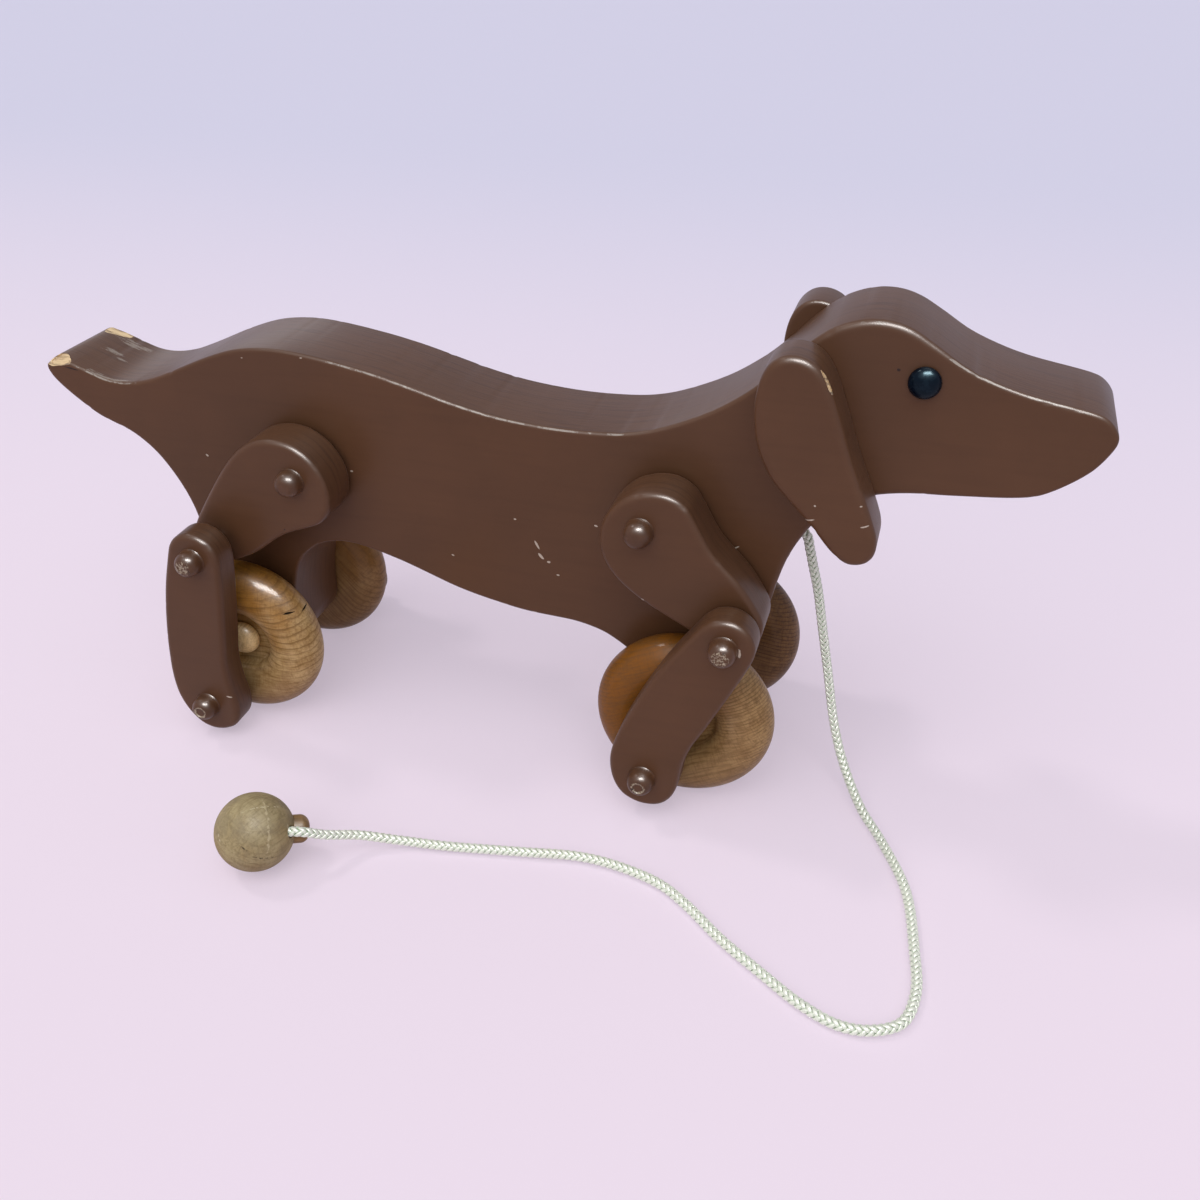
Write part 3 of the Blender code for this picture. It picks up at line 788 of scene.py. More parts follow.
def outwards(piece, node, sign, baseOut):
    # set a spun piece on its node's axis with its +Y away from the body and its y = 0 at baseOut
    low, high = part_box(node)
    piece.location = ((low.x + high.x) / 2, sign * baseOut, (low.z + high.z) / 2)
    piece.rotation_euler = (0, 0, 0 if sign > 0 else math.pi)


def pegCopy(master, node, sign, spec):
    # a copy of a headed master in its node's place, its shank drawn out or in to the CAD length
    low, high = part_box(node)
    reach = (high.y - low.y) / mm - spec["height"]
    peg = copied(master)
    stretch = (turnSpec["shankReach"] - reach) * mm
    for vert in peg.data.vertices:
        if vert.co.y < -turnSpec["shankReach"] / 2 * mm:
            vert.co.y += stretch
    tip = max(abs(low.y), abs(high.y))
    outwards(peg, node, sign, tip - spec["height"] * mm)
    return peg


# Headed pegs: domes with a small flat tip, a soft skirt of paint at the foot and a plain shank

pegSpec = {
    "headRadius": 5.1,
    "height": 5.8,
    "tipRadius": {"hip": 1.3, "knee": 1.9, "crank": 2.3},
    "dimple": {"hip": 0.0, "knee": 0.12, "crank": 0.38},
    "tipWear": {"hip": 0.0, "knee": 0.72, "crank": 0.10},
    "ringWear": {"hip": 0.0, "knee": 0.75, "crank": 1.15},
    "ringRadius": 0.30,
    "ringFade": 0.95,               # wear fades out this far from the ring round the tip
    "tipSpread": 1.5,
    "lip": 0.02,
    "straight": 1.6,                # the dome stands on a straight side from the edge to here
    "edge": 0.3,
    "skirt": 0.35,
    "foot": 0.72,                   # the head comes down this far past its CAD seat to meet the leg
    "shank": 2.72,
    "steps": 48,
}


def pegMaster(kind, spec):
    top, head, tip = spec["height"], spec["headRadius"], spec["tipRadius"][kind]
    ring, skirt, foot = spec["ringRadius"], spec["skirt"], spec["foot"]
    shoulder = spec["straight"]
    sunk = top - spec["dimple"][kind]
    # the tip with the ring round it, the dome, the skirt and the shank
    profile = [(0.0, sunk), (tip * 0.5, sunk), (tip - ring, sunk), (tip - ring * 0.4, (sunk + top) / 2)]
    profile += [(tip, top - spec["lip"])]
    profile += arcPoints((tip, shoulder), (head - tip, top - shoulder), 86, 0, 10)
    profile += [(head, spec["edge"]), (head + skirt * 0.4, -foot * 0.55), (head + skirt, -foot)]
    profile += [(spec["shank"], -foot)] + shankEnd(spec["shank"])
    peg = spun(profile, spec["steps"])
    worn = peg.data.attributes.new("worn", "FLOAT", "POINT")
    for i, vert in enumerate(peg.data.vertices):
        radius = math.hypot(vert.co.x, vert.co.z) / mm
        if vert.co.y / mm > shoulder:
            onRing = max(0.0, 1.0 - abs(radius - tip) / spec["ringFade"])
            onTip = radius < tip + spec["tipSpread"]
            worn.data[i].value = max(spec["ringWear"][kind] * onRing, spec["tipWear"][kind] * onTip)
    return peg


# Wheels: round treads, dished hub, bored for the axle and drilled for the crank

wheelSpec = {
    "bore": 4.45,
    "chamfer": 0.5,
    "hubFace": 0.5,                 # above the wheel's middle
    "hubRadius": 9.2,
    "dishRadius": 13.0,
    "dishFoot": 2.1,
    "dishSweep": (0.15, 0.3, 1.9),  # the hub's curve into the dish: wider, higher, depth
    "crown": (24.5, 9.9),           # radius and height of the roll's top
    "radius": 35.0,
    "steps": 112,
    "crankHole": 3.05,
    "crankDepth": 13.0,
    "crankSides": 40,
    "drillLead": 2.0,
    # short splits along the grain in one wheel: middle, half sizes, turn
    "splitLeg": "rear_right",
    "splits": [((-96.8, -36.7, 54.1), (0.9, 2.4, 0.42), (0, 0, -46)),
               ((-93.7, -29.9, 53.2), (0.9, 2.8, 0.40), (3, 0, 4))],
    "splitSeed": 5.0,
}


def wheelMaster(spec):
    bore, chamfer, face, hub = spec["bore"], spec["chamfer"], spec["hubFace"], spec["hubRadius"]
    dish, foot = spec["dishRadius"], spec["dishFoot"]
    wider, higher, depth = spec["dishSweep"]
    crown, high = spec["crown"]
    profile = [(bore, face - chamfer), (bore + chamfer, face), (hub, face)]
    profile += arcPoints((hub, foot + higher), (dish - hub + wider, depth), -72, -12, 6)
    profile += arcPoints((crown, foot), (crown - dish, high - foot), 164, 90, 14)
    profile += arcPoints((crown, 0.0), (spec["radius"] - crown, high), 84, -90, 26)
    profile += [(bore + chamfer, -high), (bore, -high + chamfer), profile[0]]
    return spun(profile, spec["steps"])


def drillWheel(wheel, leg, spec):
    applyPlace(wheel)
    low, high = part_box(leg + "_crank_peg")
    face = max(abs(c.y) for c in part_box(leg + "_wheel"))
    lead = spec["drillLead"]
    depth = (spec["crankDepth"] + lead) * mm
    place = ((low.x + high.x) / 2, legSign(leg) * (face + lead * mm - depth / 2), (low.z + high.z) / 2)
    carve(wheel, drillBit(spec["crankHole"] * mm, depth, place, (math.pi / 2, 0, 0), spec["crankSides"]))


# Axle pegs, eyes, pull ball and its plug

axleSpec = {"radius": 7.2, "height": 6.4, "tip": 1.4, "shoulder": 1.9, "rim": 1.3, "shank": 3.95, "steps": 56}
eyeSpec = {
    "radius": 5.4,
    "height": 4.2,
    "shoulder": 0.5,
    "undercut": (0.12, 0.1),        # in from the rim, up from the foot
    "seat": 0.5,
    "foot": 0.25,
    "shank": 2.72,
    "steps": 56,
}
ballSpec = {
    "centre": cordSpec["ballCentre"],
    "radius": cordSpec["ballRadius"],
    "steps": 96,
    "cordHole": (2.35, 9.0),        # radius, and depth from the drill's start
    "plugHole": (2.4, 8.0),
    "drillLead": 2,
    "groove": 0.05,                 # turning lines round the ball, as deep as this
    "grooves": [-52, -37, 33, 49],
    "grooveWidth": 0.9,
    "axis": (-14, 8),               # lean of the turning axis about x and y
}
plugSpec = {
    "radius": 5.3,
    "height": 4.9,
    "tip": 1.4,
    "shoulder": 3.4,                # below the tip
    "footSteps": (0.0, 0.3, 1.2, 2.1),
    "based": 14.8,                  # from the ball's middle
    "gap": 0.06,
    "way": (36, -12),               # heading and rise, degrees
    "shank": 2.3,
    "shankReach": 4.0,
    "steps": 48,
}


def axlePeg(spec):
    radius, top, tip, shoulder, rim = (spec[k] for k in ("radius", "height", "tip", "shoulder", "rim"))
    profile = [(0.0, top)] + arcPoints((tip, shoulder), (radius - tip, top - shoulder), 88, 0, 12)
    profile += arcPoints((radius - rim, rim), (rim, rim), -8, -90, 6)
    profile += [(spec["shank"], 0.0)] + shankEnd(spec["shank"])
    return spun(profile, spec["steps"])


def eyeDome(spec):
    radius, top, shoulder, foot = (spec[k] for k in ("radius", "height", "shoulder", "foot"))
    inset, lift = spec["undercut"]
    profile = [(0.0, top)] + arcPoints((0.0, shoulder), (radius, top - shoulder), 84, 0, 14)
    profile += [(radius - inset, lift - foot), (radius - spec["seat"], -foot), (spec["shank"], -foot)]
    profile += shankEnd(spec["shank"])
    return spun(profile, spec["steps"])


def turnedBall(spec):
    # a half round with fine grooves, spun about its leaning axis
    profile = []
    for lift in range(90, -91, -1):
        groove = max(max(0.0, 1.0 - abs(lift - g) / spec["grooveWidth"]) for g in spec["grooves"])
        reach = spec["radius"] - spec["groove"] * groove
        profile.append((max(0.0, reach * math.cos(math.radians(lift))), reach * math.sin(math.radians(lift))))
    ball = spun(profile, spec["steps"])
    ball.rotation_euler = (math.radians(90 + spec["axis"][0]), math.radians(spec["axis"][1]), 0)
    ball.location = Vector(spec["centre"]) * mm
    applyPlace(ball)
    return ball


def drillBall(ball, way, hole, spec):
    radius, depth = hole
    drillAlong(ball, Vector(spec["centre"]) + way * (spec["radius"] + spec["drillLead"]), -way, depth, radius)


def plugHead(spec, ball):
    radius, top, tip, shoulder = (spec[k] for k in ("radius", "height", "tip", "shoulder"))
    profile = [(0.0, top), (tip, top)] + arcPoints((tip, top - shoulder), (radius - tip, shoulder), 84, 0, 12)
    # the foot follows the ball's round
    for r in [radius - step for step in spec["footSteps"]] + [spec["shank"]]:
        profile.append((r, math.sqrt(ball["radius"] ** 2 - r * r) - spec["based"] + spec["gap"]))
    profile += [(spec["shank"], -spec["shankReach"]), (0.0, -spec["shankReach"])]
    plug = spun(profile, spec["steps"])
    way = pointing(*spec["way"])
    plug.rotation_euler = way.to_track_quat("Y", "Z").to_euler()
    plug.location = (Vector(ball["centre"]) + way * spec["based"]) * mm
    return plug


# Brown paint, with rubbed rims that carry some painted highlight, and small marks

paintSpec = {
    "brown": (0.089, 0.039, 0.0175),
    "dark": (0.070, 0.030, 0.0135),
    "warm": (0.097, 0.042, 0.0185),
    "sawnDark": (0.052, 0.022, 0.010),
    # rubbed: worn paint on the rims, grey partly as painted highlight
    "rubbed": (0.31, 0.265, 0.225),
    "markPale": (0.50, 0.42, 0.34),
    "markDark": (0.018, 0.010, 0.008),
    # patterns: scale or scales along x, y and z, detail, roughness
    "brush": ((22, 150, 320), 3.0, 0.55),
    "clouds": (26.0, 4.0, 0.55),
    "sawLines": ((45, 820, 45), 4.0, 0.7),
    "speckle": (460.0, 5.0, 0.75),
    "patches": (110.0, 4.0, 0.55),
    "streaks": ((130, 900, 130), 6.0, 0.75),
    "streakTurn": (0, 0, 0.3),
    "peel": (900.0, 2.0, 0.55),
    # where a face looks: steps of its normal
    "wall": (0.45, 0.10),
    "rimStart": (0.34, 0.60),
    "rimEnd": (0.97, 0.82),
    "flat": (0.6, 0.95),
    "upward": (-0.05, 0.45),
    # steps of the patterns: start, stop, and the shares they run between
    "warmShare": (0.35, 0.68),
    "brushShare": (0.42, 0.78, 0.0, 0.22),
    "sawShare": (0.46, 0.66, 0.0, 0.55),
    "rubbedShare": (0.43, 0.54, 0.0, 0.8),
    "scuffShare": (0.40, 0.50),
    "scuffFacing": (0.35, 0.6, 0.0, 0.65),
    "scuffFade": 0.16,
    "wearSpeckle": 0.60,
    "wearPatches": 0.75,
    "wearFrom": 0.17,
    "wearReach": 0.5,
    "runFade": 4,
    "markEdge": (1.0, 0.72),
    "markRough": 1.4,
    "markDeep": 2.0,
    "markShare": 0.9,
    "roughness": 0.42,
    "roughClouds": 0.16,
    "roughRubbed": 0.10,
    "gloss": {"Specular IOR Level": 0.16, "Coat Weight": 0.10, "Coat Roughness": 0.24},
    "relief": {"peel": 0.10, "brush": 0.16, "saw": 0.38, "marks": 0.6, "rubbed": 0.22},
    "bump": (0.55, 0.35),
}


def markMask(tree, coords, rough, mark):
    # one small mark: place, half sizes along and across in millimetres, turn in the XZ plane in degrees
    at, along, across, turn = mark
    local = placed(tree, coords, at, (0, turn, 0), (along, paintSpec["markDeep"], across))
    ragged = plus(tree, vectorValue(tree, "LENGTH", local), swing(tree, rough, paintSpec["markRough"]))
    return ease(tree, ragged, *paintSpec["markEdge"])


def scuffMask(tree, coords, streak, scuff):
    # dry streaks within an oval: middle and half sizes in millimetres
    at, half = scuff
    away = vectorValue(tree, "LENGTH", placed(tree, coords, at, (0, 0, 0), half))
    level = minus(tree, streak, times(tree, times(tree, away, away), paintSpec["scuffFade"]))
    return ease(tree, level, *paintSpec["scuffShare"])


def anyOf(tree, masks):
    total = masks[0]
    for mask in masks[1:]:
        total = larger(tree, total, mask)
    return total


def runMask(tree, value, runs):
    # strength along x: (start, stop, strength) in millimetres, faded over a few millimetres
    fade = paintSpec["runFade"]
    parts = []
    for start, stop, strength in runs:
        rise = ease(tree, value, (start - fade) * mm, (start + fade) * mm, 0.0, strength)
        fall = ease(tree, value, (stop - fade) * mm, (stop + fade) * mm, 1.0, 0.0)
        parts.append(times(tree, rise, fall))
    return anyOf(tree, parts)


def paintFinish(name, piece):
    spec = paintSpec
    relief = spec["relief"]
    finish, tree, shader, coords = newFinish(name)
    facing = xyz(tree, coords.node.outputs["Normal"])
    flat = math2(tree, "ABSOLUTE", facing["Y"])
    wall = ease(tree, flat, *spec["wall"])
    onRim = times(tree, ease(tree, flat, *spec["rimStart"]), ease(tree, flat, *spec["rimEnd"]))
    upward = ease(tree, facing["Z"], *spec["upward"])
    # brush marks along the flats, cloudy patches and lines that run round the sawn edge
    brushed = times(tree, grainNoise(tree, coords, spec["brush"]), ease(tree, flat, *spec["flat"]))
    clouds = grainNoise(tree, coords, spec["clouds"])
    sawn = grainNoise(tree, coords, spec["sawLines"])
    colour = mixColour(tree, ease(tree, clouds, *spec["warmShare"]), spec["brown"], spec["warm"])
    colour = mixColour(tree, ease(tree, brushed, *spec["brushShare"]), colour, spec["dark"])
    colour = mixColour(tree, times(tree, wall, ease(tree, sawn, *spec["sawShare"])), colour, spec["sawnDark"])
    # rubbed rims, more on upward rims: worn paint with some painted highlight
    speckle = grainNoise(tree, coords, spec["speckle"])
    patches = grainNoise(tree, coords, spec["patches"])
    reach = times(tree, onRim, times(tree, upward, runMask(tree, xyz(tree, coords)["X"], piece["runs"])))
    worn = plus(tree, times(tree, speckle, spec["wearSpeckle"]), times(tree, patches, spec["wearPatches"]))
    worn = minus(tree, worn, spec["wearFrom"])
    worn = plus(tree, worn, times(tree, minus(tree, reach, 1.0), spec["wearReach"]))
    rubbed = ease(tree, worn, *spec["rubbedShare"])
    if "scuffs" in piece:
        # dry scuffs on upward faces
        streak = grainNoise(tree, coords, spec["streaks"], spec["streakTurn"])
        there = anyOf(tree, [scuffMask(tree, coords, streak, scuff) for scuff in piece["scuffs"]])
        there = times(tree, there, ease(tree, facing["Z"], *spec["scuffFacing"]))
        rubbed = larger(tree, rubbed, there)
    colour = mixColour(tree, rubbed, colour, spec["rubbed"])
    # knocks through the paint and dark specks
    bare = anyOf(tree, [markMask(tree, coords, speckle, mark) for mark in piece["pale"]])
    colour = mixColour(tree, times(tree, bare, spec["markShare"]), colour, spec["markPale"])
    specks = anyOf(tree, [markMask(tree, coords, speckle, mark) for mark in piece["dark"]])
    colour = mixColour(tree, times(tree, specks, spec["markShare"]), colour, spec["markDark"])
    dull = plus(tree, spec["roughness"], swing(tree, clouds, spec["roughClouds"]))
    dull = plus(tree, dull, times(tree, rubbed, spec["roughRubbed"]))
    setInputs(tree, shader, {"Base Color": colour, "Roughness": dull, **spec["gloss"]})
    # bump: orange peel, brush marks, saw lines on the edge, and the marks pressed in
    peel = grainNoise(tree, coords, spec["peel"])
    height = plus(tree, times(tree, peel, relief["peel"]), times(tree, brushed, relief["brush"]))
    height = plus(tree, height, times(tree, times(tree, sawn, wall), relief["saw"]))
    height = minus(tree, height, times(tree, bare, relief["marks"]))
    height = minus(tree, height, times(tree, rubbed, relief["rubbed"]))
    setBump(tree, shader, height, spec["bump"])
    return finish


pegPaintSpec = {
    "rubbed": (0.43, 0.36, 0.26),
    "speckle": (1300.0, 4.0, 0.65),
    "clouds": (160.0, 3.0, 0.55),
    "pits": (520.0, 2.0, 0.55),
    "darkShare": (0.35, 0.7),
    "rubbedShare": (0.34, 0.54, 0.0, 0.85),
    "wearReach": 0.42,
    "pitEdge": (0.60, 0.68),
    "pitShare": 0.8,
    "roughness": (0.3, 0.7, 0.32, 0.44),
    "gloss": {"Specular IOR Level": 0.2, "Coat Weight": 0.14, "Coat Roughness": 0.18},
    "relief": {"speckle": 0.35, "pits": 0.7},
    "bump": (0.5, 0.25),
}


def pegPaintFinish(spec, paint):
    # the same paint on the peg heads, rubbed off where the worn attribute says
    finish, tree, shader, coords = newFinish("pegPaint")
    worn = addNode(tree, "ShaderNodeAttribute", attribute_name="worn").outputs["Fac"]
    speckle = grainNoise(tree, coords, spec["speckle"])
    clouds = grainNoise(tree, coords, spec["clouds"])
    colour = mixColour(tree, ease(tree, clouds, *spec["darkShare"]), paint["brown"], paint["dark"])
    level = plus(tree, speckle, times(tree, minus(tree, worn, 1.0), spec["wearReach"]))
    pits = times(tree, ease(tree, grainNoise(tree, coords, spec["pits"]), *spec["pitEdge"]), worn)
    colour = mixColour(tree, ease(tree, level, *spec["rubbedShare"]), colour, spec["rubbed"])
    colour = mixColour(tree, times(tree, pits, spec["pitShare"]), colour, paint["markDark"])
    dull = ease(tree, clouds, *spec["roughness"])
    setInputs(tree, shader, {"Base Color": colour, "Roughness": dull, **spec["gloss"]})
    relief = spec["relief"]
    height = minus(tree, times(tree, speckle, relief["speckle"]), times(tree, pits, relief["pits"]))
    setBump(tree, shader, height, spec["bump"])
    return finish


# Broken wood under the paint, and painted shade in old splits

breakSpec = {
    "fibres": ((60, 700, 700), 4.0, 0.55),
    "bareWood": (0.66, 0.48, 0.255),
    "shaded": (0.30, 0.18, 0.075),
    "paleShare": (0.38, 0.60),
    "crack": (0.07, 0.035, 0.015),
    "crackShare": (0.45, 0.36, 0.0, 0.8),
    "roughness": 0.75,
    "bump": (0.8, 0.4),
}
# painted shade for the inside of the splits, mottled between two dark tones
splitSpec = {
    "shadeMottle": (900.0, 3.0, 0.55),
    "deep": (0.012, 0.006, 0.003),
    "softShade": (0.040, 0.020, 0.008),
    "roughness": 0.85,
    "specular": 0.05,
    "bump": (0.5, 0.2),
}


def bareWoodFinish(spec):
    # fresh broken wood, fibres along x
    finish, tree, shader, coords = newFinish("bareWood")
    fibres = grainNoise(tree, coords, spec["fibres"])
    colour = mixColour(tree, ease(tree, fibres, *spec["paleShare"]), spec["shaded"], spec["bareWood"])
    colour = mixColour(tree, ease(tree, fibres, *spec["crackShare"]), colour, spec["crack"])
    setInputs(tree, shader, {"Base Color": colour, "Roughness": spec["roughness"]})
    setBump(tree, shader, fibres, spec["bump"])
    return finish


def splitShadeFinish(spec):
    # the inside of a split, painted dark as its shade
    finish, tree, shader, coords = newFinish("splitShade")
    shadeMottle = grainNoise(tree, coords, spec["shadeMottle"])
    setInputs(tree, shader, {"Base Color": mixColour(tree, shadeMottle, spec["deep"], spec["softShade"]),
                             "Roughness": spec["roughness"], "Specular IOR Level": spec["specular"]})
    setBump(tree, shader, shadeMottle, spec["bump"])
    return finish


# Turned wood: growth rings as cylinders about the grain, pores, and the finish over them

woodSpec = {
    # patterns: scales along and across the grain, detail, roughness
    "drift": ((0.010, 0.11, 0.11), 2.0, 0.55),
    "patches": ((0.03, 0.05, 0.05), 3.0, 0.55),
    "fine": ((0.05, 1.05, 1.05), 4.0, 0.65),
    "hatch": ((1.5, 0.2, 0.24), 3.0, 0.6),
    "flecks": ((0.55, 3.6, 3.6), 1.0, 0.55),
    "clouds": ((0.07, 0.11, 0.11), 4.0, 0.6),
    "soil": (120.0, 5.0, 0.65),
    # steps: start, stop, and the shares they run between
    "lateRise": (0.55, 0.95),
    "lateEnd": (1.0, 0.955),
    "latePatches": (0.38, 0.62, 0.25, 1.0),
    "fleckEdge": (0.62, 0.72),
    "midShare": (0.36, 0.64),
    "fineShare": (0.42, 0.68, 0.0, 0.48),
    "hatchShare": (0.48, 0.66, 0.0, 0.28),
    "soilShare": (0.46, 0.66, 0.0, 0.6),
    "fleckShare": 0.35,
    "sideBlur": 0.8,
    "dullRange": (0.3, 0.7),
    "dullSpread": (-0.05, 0.06),
    "relief": {"late": -0.35, "fine": 0.25, "flecks": 0.4},
    "bumpDistance": 0.25,
}
scratchSpec = {
    "rough": (800.0, 3.0, 0.55),
    "roughMiddle": 0.40,
    "roughWidths": 5.0,             # the roughness moves the line by this many half widths
    "ends": (1.15, 0.85),
    "core": 0.4,
}


def scratchMask(tree, coords, centre, start, stop, width):
    # a thin line on the great circle through two points of a ball
    spec = scratchSpec
    middle = Vector(centre)
    flat = (Vector(start) - middle).cross(Vector(stop) - middle).normalized()
    half = (Vector(stop) - Vector(start)).length / 2
    away = vectorValue(tree, "DOT_PRODUCT", coords, tuple(flat))
    away = math2(tree, "ABSOLUTE", minus(tree, away, flat.dot(middle) * mm))
    rough = minus(tree, grainNoise(tree, coords, spec["rough"]), spec["roughMiddle"])
    away = plus(tree, away, times(tree, rough, width * mm * spec["roughWidths"]))
    along = vectorValue(tree, "DISTANCE", coords, tuple((Vector(start) + Vector(stop)) / 2 * mm))
    window = ease(tree, along, *(half * end * mm for end in spec["ends"]))
    return times(tree, ease(tree, away, width * mm, width * spec["core"] * mm), window)


def woodFinish(name, piece):
    spec = woodSpec
    relief = spec["relief"]
    dark = piece["dark"]
    finish, tree, shader, coords = newFinish(name)
    # grain along local x after the turn, in millimetres from the middle
    local = placed(tree, coords, piece["centre"], piece["turn"], (1, 1, 1))
    across = xyz(tree, local)
    ringY = minus(tree, across["Y"], piece["heart"][0])
    ringZ = minus(tree, across["Z"], piece["heart"][1])
    radius = math2(tree, "SQRT", plus(tree, times(tree, ringY, ringY), times(tree, ringZ, ringZ)))
    # growth rings of uneven width: each year ends in a thin dark line
    drift = times(tree, grainNoise(tree, local, spec["drift"]), piece["wander"])
    year = math2(tree, "FRACT", plus(tree, math2(tree, "DIVIDE", radius, piece["ring"]), drift))
    late = times(tree, ease(tree, year, *spec["lateRise"]), ease(tree, year, *spec["lateEnd"]))
    late = times(tree, late, ease(tree, grainNoise(tree, local, spec["patches"]), *spec["latePatches"]))
    fine = grainNoise(tree, local, piece.get("fine", spec["fine"]))
    hatch = grainNoise(tree, local, spec["hatch"])
    fleck = ease(tree, grainNoise(tree, local, spec["flecks"]), *spec["fleckEdge"])
    cloud = grainNoise(tree, local, spec["clouds"])
    colour = mixColour(tree, ease(tree, cloud, *spec["midShare"]), piece["pale"], piece["mid"])
    for tint, way, start, stop, share in piece.get("sides", ()):
        # a tint towards one side of the piece: deeper varnish with some painted shade on the wheels' upper
        # sides, painted shade on the lower sides near the floor
        along = Vector(way).normalized() / (piece["size"] * mm)
        side = vectorValue(tree, "DOT_PRODUCT", coords, tuple(along))
        side = minus(tree, side, (Vector(piece["centre"]) * mm).dot(along))
        side = plus(tree, side, swing(tree, cloud, spec["sideBlur"]))
        colour = mixColour(tree, ease(tree, side, start, stop, 0.0, share), colour, tint)
    colour = mixColour(tree, ease(tree, fine, *spec["fineShare"]), colour, dark)
    colour = mixColour(tree, ease(tree, hatch, *spec["hatchShare"]), colour, dark)
    colour = mixColour(tree, times(tree, late, piece["contrast"]), colour, dark)
    colour = mixColour(tree, times(tree, fleck, spec["fleckShare"]), colour, dark)
    if "soil" in piece:
        dirt = ease(tree, grainNoise(tree, coords, spec["soil"]), *spec["soilShare"])
        colour = mixColour(tree, dirt, colour, piece["soil"])
    for tint, start, stop, width, share in piece.get("scratches", ()):
        # a broken line from start to stop along the round of the piece
        line = scratchMask(tree, coords, piece["centre"], start, stop, width)
        colour = mixColour(tree, times(tree, line, share), colour, tint)
    dull = ease(tree, cloud, *spec["dullRange"], *(piece["roughness"] + d for d in spec["dullSpread"]))
    setInputs(tree, shader, {"Base Color": colour, "Roughness": dull, "Specular IOR Level": piece["specular"],
                             "Coat Weight": piece["coat"], "Coat Roughness": piece["coatRoughness"]})
    height = plus(tree, times(tree, late, relief["late"]), times(tree, fine, relief["fine"]))
    height = minus(tree, height, times(tree, fleck, relief["flecks"]))
    setBump(tree, shader, height, (piece["relief"], spec["bumpDistance"]))
    return finish


# Body board

bodySpec = {
    "cadRim": 2.6, "rim": 2.5, "step": 1.0, "nick": 0.16,
    "rimShares": [(84, 0.58), (122, 1.0), (134, 1.0), (156, 0.60)],     # x, share of the rim
    "pegHole": 3.05, "axleHole": 4.3,
    "cordHole": 2.3, "cordDrill": 12.0, "drillLead": 2,
    # rubbed stretches of the top rims, worn paint with some painted highlight: start, stop, strength
    "runs": [(-190, -159, 1.0), (-132, -70, 0.55), (-76, 44, 0.95), (116, 142, 0.85), (146, 196, 0.97)],
    # dry scuffs on upward faces: middle, half sizes
    "scuffs": [((-185.2, 1.6, 143.4), (5.0, 2.0, 6)), ((-184.0, 12.8, 143.2), (10, 2.8, 6)),
               ((-179.6, -1.4, 142.0), (2.4, 0.8, 5)), ((-174.5, -17.2, 141.6), (13, 1.3, 5))],
    # knocks: place, half sizes along and across, turn
    "pale": [((-134.3, -19, 112.4), 0.8, 0.5, 30), ((-69.2, -19, 114.3), 0.6, 0.4, 0),
             ((-28.9, -19, 83.0), 0.7, 0.4, 20), ((-1.8, -19, 103.4), 0.6, 0.4, 0),
             ((6.8, -19, 93.4), 2.2, 0.5, 62), ((8.2, -19, 88.7), 1.6, 0.6, 50),
             ((11.4, -19, 86.6), 0.8, 0.5, 0), ((15.0, -19, 81.3), 0.7, 0.4, 0),
             ((30.6, -19, 105.5), 0.8, 0.4, 15), ((83.5, -19, 104.6), 2.4, 0.35, -35),
             ((-110.2, -18, 156.4), 0.6, 0.3, 0), ((-84.6, -18, 159.1), 0.6, 0.3, 0),
             ((-8.3, -18, 63.5), 2.4, 0.6, 6), ((4.4, -18, 62.1), 1.4, 0.6, 0),
             ((-60.0, 19, 120.0), 1.4, 0.5, 40), ((22.0, 19, 96.0), 1.8, 0.5, -25),
             ((150.0, 19, 160.0), 1.0, 0.5, 10)],
    "dark": [((132.6, -19, 178.5), 0.7, 0.6, 0), ((-40.0, 19, 101.0), 0.8, 0.6, 0),
             ((-190.2, -18.9, 143.2), 4.2, 0.35, 8)],
    # broken corners: place, half sizes, turn, seed
    "splinters": [((-195.8, -17.2, 146.2), (6.2, 4.0, 1.9), (32, -10, 0), 3.0),
                  ((-195.0, 17.3, 148.7), (11.5, 7.4, 2.8), (0, 19, 0), 8.0)],
}
bareWood = bareWoodFinish(breakSpec)
bodyPaint = paintFinish("bodyPaint", bodySpec)
bodyBoard = sawnBoard("body", bodySpec)
bodyBoard.data.materials.append(bodyPaint)
pegHoles(bodyBoard, [leg + "_hip_peg" for leg in legs] + ["eye_right", "eye_left"], bodySpec["pegHole"])
pegHoles(bodyBoard, [leg + "_axle_peg" for leg in legs], bodySpec["axleHole"])
chestWay = Vector(cordSpec["exitWay"])
chestStart = Vector(cordSpec["exit"]) + bodySpec["drillLead"] * chestWay
drillAlong(bodyBoard, chestStart, -chestWay, bodySpec["cordDrill"], bodySpec["cordHole"])
for place, size, turn, seed in bodySpec["splinters"]:
    carve(bodyBoard, splinter(place, size, turn, bareWood, seed))
settle(bodyBoard, "bodyBoard", bodyPaint, "dog", "body")
print("body board:", len(bodyBoard.data.polygons), "faces")


# Ears

earSpec = {
    "cadRim": 3.0, "rim": 2.6, "step": 0.8, "nick": 0.14, "innerRim": 1.5, "innerReach": 0.26,
    "runs": [(95, 108, 0.8), (104, 126, 0.65)],
    # a splinter off one ear's front rim: place, half sizes, turn, seed
    "chipSide": "right",
    "chip": ((111.9, -35.3, 178.1), (4.4, 1.0, 0.95), (0, 62, -8), 4.0),
    "pale": [((112.4, -37.3, 135.6), 0.4, 0.35, 0), ((127.3, -37.3, 137.5), 0.5, 0.3, 0),
             ((110.0, -37.3, 129.6), 3.4, 0.32, -18), ((129.3, -37.3, 130.3), 1.6, 0.3, -20),
             ((118.0, 37.3, 140.0), 1.2, 0.4, 30)],
    "dark": [((121.0, 37.3, 150.0), 0.5, 0.5, 0)],
}
earPaint = paintFinish("earPaint", earSpec)
